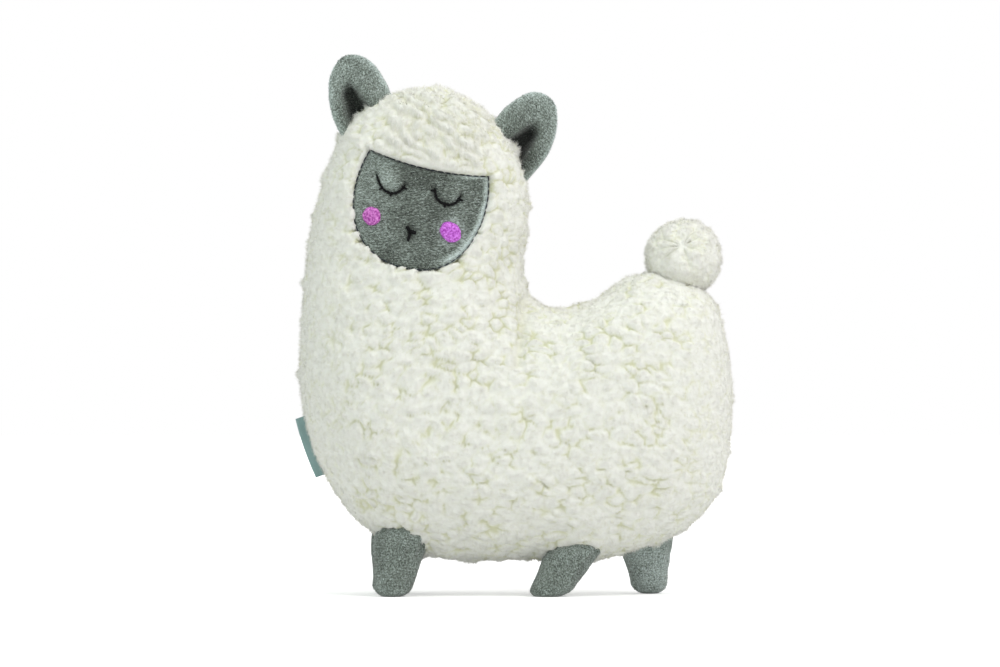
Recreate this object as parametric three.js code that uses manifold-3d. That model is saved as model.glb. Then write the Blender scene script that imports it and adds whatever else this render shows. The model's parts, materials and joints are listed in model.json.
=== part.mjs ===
// Plush dog toy in the shape of a woolly grazing animal: two sherpa covers sewn along one outline and
// stuffed with fibre, a velour face, ears and legs, a gathered tail ball, a side label and a squeaker.
// Millimetres. +X runs to the rump, +Z is up and the face looks along -Y.
// The origin is on the ground, under the middle of the toy.

import * as THREE from "three";
import { mergeVertices } from "three/addons/utils/BufferGeometryUtils.js";
import Module from "manifold-3d";

const wasm = await Module();
wasm.setup();

// Body sizes
const TORSO_LENGTH = 216;
const TORSO_HEIGHT = 126.5;
const TORSO_THICKNESS = 90;
const GROUND_CLEARANCE = 17.5;
const NECK_WIDTH = 108;
const NECK_SETBACK = 59;
const HEAD_RISE = 109.5;
const HEAD_THICKNESS = 72;
const SECTION_FULLNESS = 2.4;

// Fabrics, threads and fits
const SHERPA_THICKNESS = 6;
const VELOUR_THICKNESS = 2.2;
const THREAD_DIAMETER = 1;
const EMBROIDERY_THICKNESS = 0.9;
const CLEARANCE = 0.3;

// Face
const FACE_WIDTH = 66;
const FACE_HEIGHT = 54.5;
const FACE_TILT = THREE.MathUtils.degToRad(12.5);
const FACE_SINK = 2;
const FACE_STITCH_WIDTH = 1.2;
const FEATURES_SHIFT = -1.6;
const EYE_SPACING = 29;
const EYE_HEIGHT = 8.5;
const EYE_WIDTH = 14;
const EYE_DEPTH = 5;
const EYE_LINE = 1.3;
const LASH_LENGTH = 2.6;
const CHEEK_SPACING = 40;
const CHEEK_DIAMETER = 10;
const CHEEK_DROP = 7.2;
const NOSE_WIDTH = 5.4;
const NOSE_HEIGHT = 3.4;
const NOSE_DROP = 8.8;
const MOUTH_LENGTH = 5;

// Ears
const EAR_WIDTH = 30;
const EAR_LENGTH = 31.5;
const EAR_TUCK = 4;
const EAR_CUP = 7;
const EAR_LEAN = THREE.MathUtils.degToRad(18);
const EAR_SWING = 40;

// Legs
const LEG_TOP_DIAMETER = 28;
const LEG_FOOT_DIAMETER = 19;
const LEG_FOOT_ROUNDING = 5;
const LEG_TUCK = 13;
const LEG_STANCE = THREE.MathUtils.degToRad(20);
const LEG_SPLAY = THREE.MathUtils.degToRad(8);
const SOLE_CUT = 0.5;
const LEG_SWING = 20;
const FRONT_LEG_LEAN = THREE.MathUtils.degToRad(8);
const REAR_LEG_LEAN = THREE.MathUtils.degToRad(26);

// Tail
const TAIL_DIAMETER = 36;
const TAIL_RISE = 12;
const TAIL_MOUTH_DIAMETER = 5;
const TAIL_DIMPLE = 4;
const TAIL_SWING = 20;

// Label
const LABEL_WIDTH = 31;
const LABEL_PROUD = 4;
const LABEL_TUCK = 3;
const LABEL_THICKNESS = 1.8;
const LABEL_FOLD_GAP = 0.5;
const LABEL_SWING = 40;

// Squeaker
const SQUEAKER_DIAMETER = 42;
const SQUEAKER_DEPTH = 24;
const SQUEAKER_WALL = 1.6;
const SQUEAKER_TRAVEL = 6;
const REED_PLUG_DIAMETER = 9;
const REED_PLUG_LENGTH = 8;
const REED_THICKNESS = 0.5;

// How finely the round forms are cut up
const BODY_STATIONS = 28;
const BODY_SECTION_POINTS = 20;
const ROUND_STEPS = 14;
const CURVE_STEPS = 5;
const SWING_STEP = 20;

const FAR = 400;
const BACK_HEIGHT = GROUND_CLEARANCE + TORSO_HEIGHT;
const UP = new THREE.Vector3(0, 0, 1);
const BACKWARD = new THREE.Vector3(0, 1, 0);

const SHERPA = new THREE.MeshStandardMaterial({ color: 0xf1efe2, roughness: 1, metalness: 0 });
const VELOUR = new THREE.MeshStandardMaterial({ color: 0x7c7b77, roughness: 0.95, metalness: 0 });
const BLACK_THREAD = new THREE.MeshStandardMaterial({ color: 0x1d2022, roughness: 0.8, metalness: 0 });
const PINK_THREAD = new THREE.MeshStandardMaterial({ color: 0xdb63c4, roughness: 0.7, metalness: 0 });
const CREAM_THREAD = new THREE.MeshStandardMaterial({ color: 0xe6e2d0, roughness: 0.8, metalness: 0 });
const RIBBON = new THREE.MeshStandardMaterial({ color: 0x6f8382, roughness: 0.7, metalness: 0 });
const FIBRE = new THREE.MeshStandardMaterial({ color: 0xfafafa, roughness: 1, metalness: 0 });
const PLASTIC = new THREE.MeshStandardMaterial({ color: 0xe9e9e4, roughness: 0.5, metalness: 0 });
const REED = new THREE.MeshStandardMaterial({ color: 0xc9a45a, roughness: 0.5, metalness: 0 });

// Solids and cuts

function solidOf(geometry) {
  const bare = geometry.clone();
  bare.deleteAttribute("normal");
  bare.deleteAttribute("uv");
  const merged = mergeVertices(bare, 1e-4);
  return new wasm.Manifold(
    new wasm.Mesh({
      numProp: 3,
      vertProperties: new Float32Array(merged.attributes.position.array),
      triVerts: new Uint32Array(merged.index.array),
    }),
  );
}

function geometryOf(solid) {
  const { vertProperties, triVerts } = solid.getMesh();
  const geometry = new THREE.BufferGeometry();
  geometry.setAttribute("position", new THREE.BufferAttribute(vertProperties, 3));
  geometry.setIndex(new THREE.BufferAttribute(triVerts, 1));
  geometry.computeVertexNormals();
  return geometry;
}

// A closed skin over rings of points, drawn together into one point at each end.
function loft(startPole, rings, endPole) {
  const count = rings[0].length;
  const points = [startPole, ...rings.flat(), endPole];
  const corner = (ring, i) => 1 + ring * count + (i % count);
  const last = rings.length - 1;
  const faces = [];
  for (let i = 0; i < count; i++) {
    faces.push(0, corner(0, i + 1), corner(0, i));
    faces.push(points.length - 1, corner(last, i), corner(last, i + 1));
    for (let r = 0; r < last; r++) {
      faces.push(corner(r, i), corner(r, i + 1), corner(r + 1, i + 1));
      faces.push(corner(r, i), corner(r + 1, i + 1), corner(r + 1, i));
    }
  }
  return new THREE.BufferGeometry().setFromPoints(points).setIndex(faces);
}

// A closed tube round a closed path.
function loopTube(path, steps, sides, radius) {
  const frames = path.computeFrenetFrames(steps, true);
  const points = [];
  const faces = [];
  const corner = (step, side) => (step % steps) * sides + (side % sides);
  for (let s = 0; s < steps; s++) {
    const centre = path.getPointAt(s / steps);
    for (let i = 0; i < sides; i++) {
      const angle = (2 * Math.PI * i) / sides;
      const spoke = frames.normals[s].clone().multiplyScalar(radius * Math.cos(angle));
      spoke.addScaledVector(frames.binormals[s], radius * Math.sin(angle));
      points.push(centre.clone().add(spoke));
      faces.push(corner(s, i), corner(s, i + 1), corner(s + 1, i + 1));
      faces.push(corner(s, i), corner(s + 1, i + 1), corner(s + 1, i));
    }
  }
  return new THREE.BufferGeometry().setFromPoints(points).setIndex(faces);
}

// All space on the far side of a plane through point, as a large block.
function halfSpace(point, direction) {
  const block = new THREE.BoxGeometry(2 * FAR, 2 * FAR, 2 * FAR).translate(0, 0, FAR);
  const turn = new THREE.Quaternion().setFromUnitVectors(UP, direction.clone().normalize());
  return solidOf(block.applyQuaternion(turn).translate(point.x, point.y, point.z));
}

// A flat outline drawn in X and Z, pushed forward from the seam plane through the face side.
function forwardPrism(shape, place) {
  const flat = new THREE.ExtrudeGeometry(shape, {
    depth: FAR,
    bevelEnabled: false,
    curveSegments: CURVE_STEPS,
  });
  return solidOf(flat.rotateX(Math.PI / 2).applyMatrix4(place));
}

// A profile of [radius, height] pairs turned about the Z axis.
function turned(profile, place = new THREE.Matrix4()) {
  const points = profile.map(([radius, height]) => new THREE.Vector2(radius, height));
  const lathe = new THREE.LatheGeometry(points, ROUND_STEPS);
  return solidOf(lathe.rotateX(Math.PI / 2).applyMatrix4(place));
}

// A matrix that carries +Z to the given direction and the origin to the given place.
function aimed(direction, place) {
  const turn = new THREE.Quaternion().setFromUnitVectors(UP, direction.clone().normalize());
  return new THREE.Matrix4().compose(place, turn, new THREE.Vector3(1, 1, 1));
}

// Body form

// Places on the torso, from its middle, and on the neck and head, from the middle of the neck.
function torsoAt(along, up) {
  return new THREE.Vector2(TORSO_LENGTH * along, GROUND_CLEARANCE + TORSO_HEIGHT * up);
}

function headAt(across, up) {
  const neck = -TORSO_LENGTH / 2 + NECK_SETBACK;
  return new THREE.Vector2(neck + NECK_WIDTH * across, BACK_HEIGHT + HEAD_RISE * up);
}

// Stations from the crown to the rump. Each pairs a point on the outer edge, down the chest and along the
// belly, with one on the inner edge, down the nape and along the back, and says how thick the toy is there.
const STATIONS = [
  { outer: headAt(0.06, 1), inner: headAt(0.06, 1), thick: 0 },
  { outer: headAt(-0.14, 0.96), inner: headAt(0.24, 0.945), thick: 0.5 * HEAD_THICKNESS },
  { outer: headAt(-0.333, 0.813), inner: headAt(0.38, 0.82), thick: 0.82 * HEAD_THICKNESS },
  { outer: headAt(-0.435, 0.575), inner: headAt(0.49, 0.61), thick: 0.97 * HEAD_THICKNESS },
  { outer: headAt(-0.5, 0.31), inner: headAt(0.505, 0.44), thick: HEAD_THICKNESS },
  { outer: torsoAt(-0.495, 0.93), inner: headAt(0.49, 0.256), thick: 0.87 * TORSO_THICKNESS },
  { outer: torsoAt(-0.498, 0.69), inner: headAt(0.5, 0.128), thick: 0.96 * TORSO_THICKNESS },
  { outer: torsoAt(-0.458, 0.4), inner: torsoAt(0.039, 1.05), thick: TORSO_THICKNESS },
  { outer: torsoAt(-0.37, 0.17), inner: torsoAt(0.069, 1.012), thick: TORSO_THICKNESS },
  { outer: torsoAt(-0.24, 0.032), inner: torsoAt(0.12, 0.996), thick: TORSO_THICKNESS },
  { outer: torsoAt(-0.07, 0), inner: torsoAt(0.185, 1.024), thick: TORSO_THICKNESS },
  { outer: torsoAt(0.116, 0.008), inner: torsoAt(0.255, 1.09), thick: TORSO_THICKNESS },
  { outer: torsoAt(0.278, 0.04), inner: torsoAt(0.322, 1.13), thick: 0.97 * TORSO_THICKNESS },
  { outer: torsoAt(0.394, 0.125), inner: torsoAt(0.412, 1.085), thick: 0.85 * TORSO_THICKNESS },
  { outer: torsoAt(0.468, 0.26), inner: torsoAt(0.474, 0.96), thick: 0.62 * TORSO_THICKNESS },
  { outer: torsoAt(0.502, 0.59), inner: torsoAt(0.502, 0.59), thick: 0 },
];
const LAST_STATION = STATIONS.length - 1;

// The sewn outline as one closed curve, down the outer edge and back up the inner one. Its Y holds half the
// thickness, with its sign turned on the way back, so that the form closes smoothly at the crown and rump.
const outline = new THREE.CatmullRomCurve3(
  [
    ...STATIONS.map(({ outer, thick }) => new THREE.Vector3(outer.x, thick / 2, outer.y)),
    ...STATIONS.slice(1, -1)
      .reverse()
      .map(({ inner, thick }) => new THREE.Vector3(inner.x, -thick / 2, inner.y)),
  ],
  true,
);

const outerParameter = (station) => station / LAST_STATION / 2;
const innerParameter = (station) => 1 - station / LAST_STATION / 2;

function edgePoint(parameter) {
  return outline.getPoint(parameter).setY(0);
}

function edgeTangent(parameter) {
  return outline.getTangent(parameter).setY(0).normalize();
}

// How far out a section reaches at a sine or cosine: a fullness of 2 gives an ellipse, and more a fuller one.
const swell = (share) => Math.sign(share) * Math.abs(share) ** (2 / SECTION_FULLNESS);

// A point of the body's surface: angle 0 is the outer edge, and a quarter turn is the middle of the back.
function bodyPoint(station, angle) {
  const outer = outline.getPoint(outerParameter(station));
  const half = outer.y;
  outer.setY(0);
  const middle = edgePoint(innerParameter(station)).lerp(outer, 0.5);
  const point = middle.clone().lerp(outer, swell(Math.cos(angle)));
  return point.addScaledVector(BACKWARD, half * swell(Math.sin(angle)));
}

// The stuffed form of the whole body, drawn in from its outer surface by inset.
function bodyForm(inset) {
  const rings = [];
  for (let i = 1; i < BODY_STATIONS; i++) {
    const ring = [];
    for (let k = 0; k < BODY_SECTION_POINTS; k++) {
      const angle = (2 * Math.PI * k) / BODY_SECTION_POINTS;
      ring.push(bodyPoint((LAST_STATION * i) / BODY_STATIONS, angle));
    }
    rings.push(ring);
  }
  const form = loft(bodyPoint(0, 0), rings, bodyPoint(LAST_STATION, 0));
  form.computeVertexNormals();
  const { position, normal } = form.attributes;
  const place = new THREE.Vector3();
  const out = new THREE.Vector3();
  for (let i = 0; i < position.count; i++) {
    place.fromBufferAttribute(position, i).addScaledVector(out.fromBufferAttribute(normal, i), -inset);
    position.setXYZ(i, place.x, place.y, place.z);
  }
  form.deleteAttribute("normal");
  return form;
}

// The part of a block that lies between two depths under the body's surface.
function layer(block, outerDepth, innerDepth) {
  return block.intersect(solidOf(bodyForm(outerDepth))).subtract(solidOf(bodyForm(innerDepth)));
}

// A soft piece cut back from the body, wherever the piece swings on its hinge.
function clearOfBody(solid, hinge, swing) {
  const body = bodyForm(-CLEARANCE);
  let cleared = solid;
  for (let degrees = -swing; degrees <= swing; degrees += SWING_STEP) {
    const turn = new THREE.Matrix4().makeRotationAxis(hinge.axis, THREE.MathUtils.degToRad(degrees));
    const about = new THREE.Matrix4().makeTranslation(hinge.place);
    about.multiply(turn).multiply(new THREE.Matrix4().makeTranslation(hinge.place.clone().negate()));
    cleared = cleared.subtract(solidOf(body.clone().applyMatrix4(about)));
  }
  return cleared;
}

// Meshes and groups

function named(name, solid, material) {
  const mesh = new THREE.Mesh(geometryOf(solid), material);
  mesh.name = name;
  return mesh;
}

// A group that sits on its hinge, with its meshes drawn about that point.
function hinged(name, hinge, meshes) {
  const group = new THREE.Group();
  group.name = name;
  group.userData.hingeAxis = hinge.axis.toArray();
  group.position.copy(hinge.place);
  const { x, y, z } = hinge.place;
  meshes.forEach((mesh) => mesh.geometry.translate(-x, -y, -z));
  group.add(...meshes);
  return group;
}

// Face

const faceCentre = headAt(0.007, 0.44);
const facePlace = new THREE.Matrix4()
  .makeTranslation(faceCentre.x, 0, faceCentre.y)
  .multiply(new THREE.Matrix4().makeRotationY(FACE_TILT));
const featuresPlace = facePlace.clone().multiply(new THREE.Matrix4().makeTranslation(FEATURES_SHIFT, 0, 0));

// A shield with a sagging top edge and a round chin, grown on all sides by margin.
function faceShape(margin) {
  const half = FACE_WIDTH / 2 + margin;
  const top = FACE_HEIGHT * 0.46 + margin;
  const chin = -FACE_HEIGHT * 0.54 - margin;
  const shape = new THREE.Shape();
  shape.moveTo(-half * 0.94, top);
  shape.bezierCurveTo(-half * 1.13, top * 0.24, -half * 0.88, chin, 0, chin);
  shape.bezierCurveTo(half * 0.88, chin, half * 1.13, top * 0.24, half * 0.94, top);
  shape.quadraticCurveTo(0, top - FACE_HEIGHT * 0.12, -half * 0.94, top);
  return shape;
}

const faceDepth = FACE_SINK + VELOUR_THICKNESS;
const stitchReach = CLEARANCE + FACE_STITCH_WIDTH;
const featureTop = FACE_SINK - CLEARANCE - EMBROIDERY_THICKNESS;
const featureBottom = FACE_SINK - CLEARANCE;

const facePanel = layer(forwardPrism(faceShape(0), facePlace), FACE_SINK, faceDepth);
const stitchOpening = forwardPrism(faceShape(CLEARANCE), facePlace);
const stitchBand = forwardPrism(faceShape(stitchReach), facePlace).subtract(stitchOpening);
const faceStitch = layer(stitchBand, FACE_SINK, faceDepth);
const faceWindow = forwardPrism(faceShape(stitchReach + CLEARANCE), facePlace);
const faceRecess = faceWindow.subtract(solidOf(bodyForm(faceDepth + CLEARANCE)));

// A stroke of embroidery between two points, square at its ends.
function stroke(from, to, width) {
  const along = to.clone().sub(from).setLength(width / 2);
  const across = new THREE.Vector2(-along.y, along.x);
  return new THREE.Shape([
    from.clone().sub(along).sub(across),
    to.clone().add(along).sub(across),
    to.clone().add(along).add(across),
    from.clone().sub(along).add(across),
  ]);
}

// A closed eye: one sagging line, with a short lash under its middle and at each end.
function eyeSolid(side) {
  const centre = (side * EYE_SPACING) / 2;
  const half = EYE_WIDTH / 2;
  const lid = new THREE.QuadraticBezierCurve(
    new THREE.Vector2(centre - half, EYE_HEIGHT + EYE_DEPTH / 2),
    new THREE.Vector2(centre, EYE_HEIGHT - EYE_DEPTH * 1.5),
    new THREE.Vector2(centre + half, EYE_HEIGHT + EYE_DEPTH / 2),
  );
  const points = lid.getPoints(CURVE_STEPS);
  const strokes = points.slice(1).map((point, i) => stroke(points[i], point, EYE_LINE));
  [0.2, 0.5, 0.8].forEach((share) => {
    const root = lid.getPoint(share);
    const lash = new THREE.Vector2(root.x - centre, -half).setLength(LASH_LENGTH);
    strokes.push(stroke(root, root.clone().add(lash), EYE_LINE));
  });
  return strokes.map((shape) => forwardPrism(shape, featuresPlace)).reduce((all, one) => all.add(one));
}

function cheekSolid(side) {
  const disc = new THREE.Shape();
  disc.absarc((side * CHEEK_SPACING) / 2, -CHEEK_DROP, CHEEK_DIAMETER / 2, 0, 2 * Math.PI);
  return forwardPrism(disc, featuresPlace);
}

// A small triangular nose with one line of mouth under it.
function noseSolid() {
  const tip = new THREE.Vector2(0, -NOSE_DROP - NOSE_HEIGHT);
  const nose = new THREE.Shape([
    new THREE.Vector2(-NOSE_WIDTH / 2, -NOSE_DROP),
    tip,
    new THREE.Vector2(NOSE_WIDTH / 2, -NOSE_DROP),
  ]);
  const mouth = stroke(tip, tip.clone().add(new THREE.Vector2(0, -MOUTH_LENGTH)), EYE_LINE);
  return forwardPrism(nose, featuresPlace).add(forwardPrism(mouth, featuresPlace));
}

function embroidered(name, solid, thread) {
  return named(name, layer(solid, featureTop, featureBottom), thread);
}

const face = new THREE.Group();
face.add(
  named("face_panel", facePanel, VELOUR),
  named("face_edge_stitch", faceStitch, BLACK_THREAD),
  embroidered("eye_left", eyeSolid(-1), BLACK_THREAD),
  embroidered("eye_right", eyeSolid(1), BLACK_THREAD),
  embroidered("cheek_left", cheekSolid(-1), PINK_THREAD),
  embroidered("cheek_right", cheekSolid(1), PINK_THREAD),
  embroidered("nose_and_mouth", noseSolid(), BLACK_THREAD),
);

// Covers and their seam

const SEAM_STEPS = 60;
const SEAM_SIDES = 5;

const seamLine = new THREE.CatmullRomCurve3(
  outline.getPoints(SEAM_STEPS).slice(0, -1).map((point, i) => {
    const tangent = edgeTangent(i / SEAM_STEPS);
    const inward = tangent.cross(BACKWARD).multiplyScalar(SHERPA_THICKNESS / 2);
    return point.setY(0).add(inward);
  }),
  true,
);
const seamThread = loopTube(seamLine, SEAM_STEPS, SEAM_SIDES, THREAD_DIAMETER / 2);
const seamChannel = solidOf(loopTube(seamLine, SEAM_STEPS, SEAM_SIDES, THREAD_DIAMETER / 2 + CLEARANCE));

const frontHalf = halfSpace(BACKWARD.clone().multiplyScalar(-CLEARANCE / 2), BACKWARD.clone().negate());
const backHalf = halfSpace(BACKWARD.clone().multiplyScalar(CLEARANCE / 2), BACKWARD);
const sherpaShell = solidOf(bodyForm(0)).subtract(solidOf(bodyForm(SHERPA_THICKNESS))).subtract(seamChannel);

const covers = new THREE.Group();
covers.add(
  named("front_cover", sherpaShell.intersect(frontHalf).subtract(faceRecess), SHERPA),
  named("back_cover", sherpaShell.intersect(backHalf), SHERPA),
  named("outline_seam_thread", solidOf(seamThread), CREAM_THREAD),
);

// Ears

const EAR_RINGS = 8;
const EAR_RING_POINTS = 9;

// One layer of an ear, standing up from its base line: a leaf with a round tip, cupped towards the face.
// Near and far are the depths of its two sides at the middle of the ear.
function earLayer(near, far) {
  const height = EAR_LENGTH + EAR_TUCK;
  const rings = [];
  for (let r = 0; r < EAR_RINGS; r++) {
    const share = Math.sin((Math.PI / 2) * (r / EAR_RINGS));
    const half = (EAR_WIDTH / 2) * Math.sqrt(1 - share ** 3.4);
    const cup = EAR_CUP * (1 - 0.6 * share);
    const side = (depth) => (i) => {
      const across = (2 * i) / (EAR_RING_POINTS - 1) - 1;
      return new THREE.Vector3(half * across, depth - cup * across ** 2, height * share - EAR_TUCK);
    };
    const steps = [...Array(EAR_RING_POINTS).keys()];
    rings.push([...steps.map(side(near)), ...steps.reverse().map(side(far))]);
  }
  const middle = (near + far) / 2;
  const base = new THREE.Vector3(0, middle, -EAR_TUCK);
  return loft(base, rings, new THREE.Vector3(0, middle - EAR_CUP * 0.2, EAR_LENGTH));
}

// An ear on the outline: its base lies along the seam, and it leans towards the crown.
function ear(name, parameter, lean) {
  const axis = edgeTangent(parameter);
  const hinge = { place: edgePoint(parameter), axis };
  const outward = BACKWARD.clone().cross(axis);
  const stand = new THREE.Matrix4().makeBasis(axis.clone().negate(), BACKWARD, outward);
  const place = new THREE.Matrix4().makeTranslation(hinge.place).multiply(stand);
  place.multiply(new THREE.Matrix4().makeRotationY(lean));
  const cut = (layerForm) => clearOfBody(solidOf(layerForm.applyMatrix4(place)), hinge, EAR_SWING);
  const gap = CLEARANCE / 2;
  return hinged(name, hinge, [
    named(`${name}_lining`, cut(earLayer(-gap - VELOUR_THICKNESS, -gap)), VELOUR),
    named(`${name}_outer`, cut(earLayer(gap, gap + VELOUR_THICKNESS)), VELOUR),
  ]);
}

const ears = new THREE.Group();
ears.add(ear("ear_left", outerParameter(1.5), EAR_LEAN), ear("ear_right", innerParameter(2.5), -EAR_LEAN));

// Legs

// The outer shape of a leg hanging from its hinge, drawn in by inset: a taper with a domed foot and top.
function legProfile(footDrop, inset, topRise) {
  const topRadius = LEG_TOP_DIAMETER / 2 - inset;
  const footRadius = LEG_FOOT_DIAMETER / 2 - inset;
  const dome = LEG_FOOT_ROUNDING - inset * 0.5;
  const foot = [];
  const top = [];
  for (let i = 0; i <= CURVE_STEPS; i++) {
    const angle = (Math.PI / 2) * (i / CURVE_STEPS);
    foot.push([footRadius * Math.sin(angle), -footDrop - dome * Math.cos(angle)]);
    top.push([topRadius * Math.cos(angle), topRise * Math.sin(angle)]);
  }
  return [...foot, ...top];
}

// A leg under the belly, on the near side (-1) or the far side (1), which leans towards the chest and splays
// outwards. Its foot reaches just under the ground, where its sole is cut flat.
function leg(name, station, side, lean) {
  const hinge = { place: bodyPoint(station, side * LEG_STANCE), axis: BACKWARD };
  const tilt = Math.acos(Math.cos(lean) * Math.cos(LEG_SPLAY));
  const footReach = Math.hypot((LEG_FOOT_DIAMETER / 2) * Math.sin(tilt), LEG_FOOT_ROUNDING * Math.cos(tilt));
  const footDrop = (hinge.place.z + SOLE_CUT - footReach) / Math.cos(tilt);
  const place = new THREE.Matrix4().makeTranslation(hinge.place);
  place.multiply(new THREE.Matrix4().makeRotationY(lean));
  place.multiply(new THREE.Matrix4().makeRotationX(side * LEG_SPLAY));
  const ground = halfSpace(new THREE.Vector3(), UP);
  const cut = (solid) => clearOfBody(solid, hinge, LEG_SWING).intersect(ground);
  const hollow = turned(legProfile(footDrop, VELOUR_THICKNESS, 2 * LEG_TUCK), place);
  const cover = turned(legProfile(footDrop, 0, LEG_TUCK), place).subtract(hollow);
  const filling = turned(legProfile(footDrop, VELOUR_THICKNESS + CLEARANCE, LEG_TUCK), place);
  return hinged(name, hinge, [
    named(`${name}_cover`, cut(cover), VELOUR),
    named(`${name}_stuffing`, cut(filling), FIBRE),
  ]);
}

const legs = new THREE.Group();
legs.add(
  leg("leg_front_near", 8.7, -1, FRONT_LEG_LEAN),
  leg("leg_front_far", 8.66, 1, FRONT_LEG_LEAN),
  leg("leg_rear_near", 10.97, -1, REAR_LEG_LEAN),
  leg("leg_rear_far", 12.25, 1, 0),
);

// Tail

// A ball with a dimple where the gathers meet, drawn in by inset, with the dimple facing up the Z axis.
function tailProfile(inset) {
  const radius = TAIL_DIAMETER / 2 - inset;
  const dimple = TAIL_DIMPLE;
  const profile = [];
  for (let i = 0; i <= 2 * CURVE_STEPS; i++) {
    const angle = Math.PI * (i / (2 * CURVE_STEPS));
    const sink = dimple * Math.max(0, -Math.cos(angle)) ** 6;
    profile.push([radius * Math.sin(angle), -radius * Math.cos(angle) - sink]);
  }
  return profile;
}

function tail() {
  const parameter = innerParameter(12.7);
  const hinge = { place: edgePoint(parameter), axis: edgeTangent(parameter) };
  const centre = hinge.place.clone().addScaledVector(UP, TAIL_RISE);
  const facing = new THREE.Vector3(-0.14, -0.91, 0.39);
  const place = aimed(facing, centre);
  const inner = TAIL_DIAMETER / 2 - SHERPA_THICKNESS - TAIL_DIMPLE;
  const mouth = turned(discProfile(TAIL_MOUTH_DIAMETER / 2, inner, FAR), place);
  const cut = (solid) => clearOfBody(solid, hinge, TAIL_SWING);
  const hollow = turned(tailProfile(SHERPA_THICKNESS), place);
  const cover = turned(tailProfile(0), place).subtract(hollow).subtract(mouth);
  const filling = turned(tailProfile(SHERPA_THICKNESS + CLEARANCE), place);
  const knotTop = TAIL_DIAMETER / 2 - TAIL_DIMPLE;
  const knotRadius = TAIL_MOUTH_DIAMETER / 2 - CLEARANCE;
  const knot = turned(discProfile(knotRadius, knotTop - SHERPA_THICKNESS, knotTop), place);
  return hinged("tail", hinge, [
    named("tail_cover", cut(cover), SHERPA),
    named("tail_stuffing", cut(filling), FIBRE),
    named("tail_gathering_thread", knot, CREAM_THREAD),
  ]);
}

function discProfile(radius, bottom, top) {
  return [
    [0, bottom],
    [radius, bottom],
    [radius, top],
    [0, top],
  ];
}

// Label

// A ribbon folded in half, standing out of the seam with its fold outermost.
function label(parameter) {
  const axis = edgeTangent(parameter);
  const hinge = { place: edgePoint(parameter), axis };
  const outward = BACKWARD.clone().cross(axis);
  const half = LABEL_THICKNESS / 2;
  const slot = LABEL_FOLD_GAP / 2;
  const end = LABEL_PROUD - half;
  const profile = new THREE.Shape();
  profile.moveTo(-LABEL_TUCK, -half);
  profile.lineTo(end, -half);
  profile.absarc(end, 0, half, -Math.PI / 2, Math.PI / 2);
  profile.lineTo(-LABEL_TUCK, half);
  profile.lineTo(-LABEL_TUCK, slot);
  profile.lineTo(end, slot);
  profile.absarc(end, 0, slot, Math.PI / 2, -Math.PI / 2, true);
  profile.lineTo(-LABEL_TUCK, -slot);
  profile.closePath();
  const ribbon = new THREE.ExtrudeGeometry(profile, {
    depth: LABEL_WIDTH,
    bevelEnabled: false,
    curveSegments: CURVE_STEPS,
  });
  ribbon.translate(0, 0, -LABEL_WIDTH / 2);
  const stand = new THREE.Matrix4().makeBasis(outward, BACKWARD, axis);
  const place = new THREE.Matrix4().makeTranslation(hinge.place).multiply(stand);
  const cut = clearOfBody(solidOf(ribbon.applyMatrix4(place)), hinge, LABEL_SWING);
  return hinged("label", hinge, [named("side_label", cut, RIBBON)]);
}

// Squeaker

const squeakerCentre = torsoAt(0.04, 0.53);
const squeakerMiddle = new THREE.Vector3(squeakerCentre.x, 0, squeakerCentre.y);
const squeakerPlace = aimed(BACKWARD.clone().negate(), squeakerMiddle);
const squeakerRadius = SQUEAKER_DIAMETER / 2;
const squeakerHalf = SQUEAKER_DEPTH / 2;

// A round cup, open to the front, whose floor has a hole for the reed plug.
function squeakerBase() {
  const hole = REED_PLUG_DIAMETER / 2 + CLEARANCE;
  return turned(
    [
      [hole, -squeakerHalf],
      [squeakerRadius, -squeakerHalf],
      [squeakerRadius, 0],
      [squeakerRadius - SQUEAKER_WALL, 0],
      [squeakerRadius - SQUEAKER_WALL, -squeakerHalf + SQUEAKER_WALL],
      [hole, -squeakerHalf + SQUEAKER_WALL],
      [hole, -squeakerHalf],
    ],
    squeakerPlace,
  );
}

// A domed button whose skirt slides in the cup.
function squeakerDome() {
  const outer = squeakerRadius - SQUEAKER_WALL - CLEARANCE;
  const inner = outer - SQUEAKER_WALL;
  const skirt = -squeakerHalf + SQUEAKER_WALL + SQUEAKER_TRAVEL + 2 * CLEARANCE;
  const outside = [];
  const inside = [];
  for (let i = 0; i <= CURVE_STEPS; i++) {
    const angle = (Math.PI / 2) * (i / CURVE_STEPS);
    outside.push([outer * Math.cos(angle), squeakerHalf * Math.sin(angle)]);
    inside.unshift([inner * Math.cos(angle), (squeakerHalf - SQUEAKER_WALL) * Math.sin(angle)]);
  }
  return turned([[outer, skirt], ...outside, ...inside, [inner, skirt], [outer, skirt]], squeakerPlace);
}

// A short tube in the cup's floor, with a slot for the reed across it.
const plugTop = -squeakerHalf + REED_PLUG_LENGTH - SQUEAKER_WALL;
const reedWidth = REED_PLUG_DIAMETER * 0.45;
const reedBottom = -squeakerHalf + CLEARANCE;

function reedBlock(margin) {
  const height = plugTop - reedBottom + margin;
  const block = new THREE.BoxGeometry(reedWidth + 2 * margin, REED_THICKNESS + 2 * margin, height);
  return solidOf(block.translate(0, 0, plugTop + margin - height / 2).applyMatrix4(squeakerPlace));
}

function reedPlug() {
  const radius = REED_PLUG_DIAMETER / 2;
  const tube = turned(discProfile(radius, -squeakerHalf, plugTop), squeakerPlace);
  return tube.subtract(reedBlock(CLEARANCE));
}

const squeaker = new THREE.Group();
squeaker.add(
  named("squeaker_base", squeakerBase(), PLASTIC),
  named("squeaker_dome", squeakerDome(), PLASTIC),
  named("squeaker_reed_plug", reedPlug(), PLASTIC),
  named("squeaker_reed", reedBlock(0), REED),
);

// Stuffing

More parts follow.
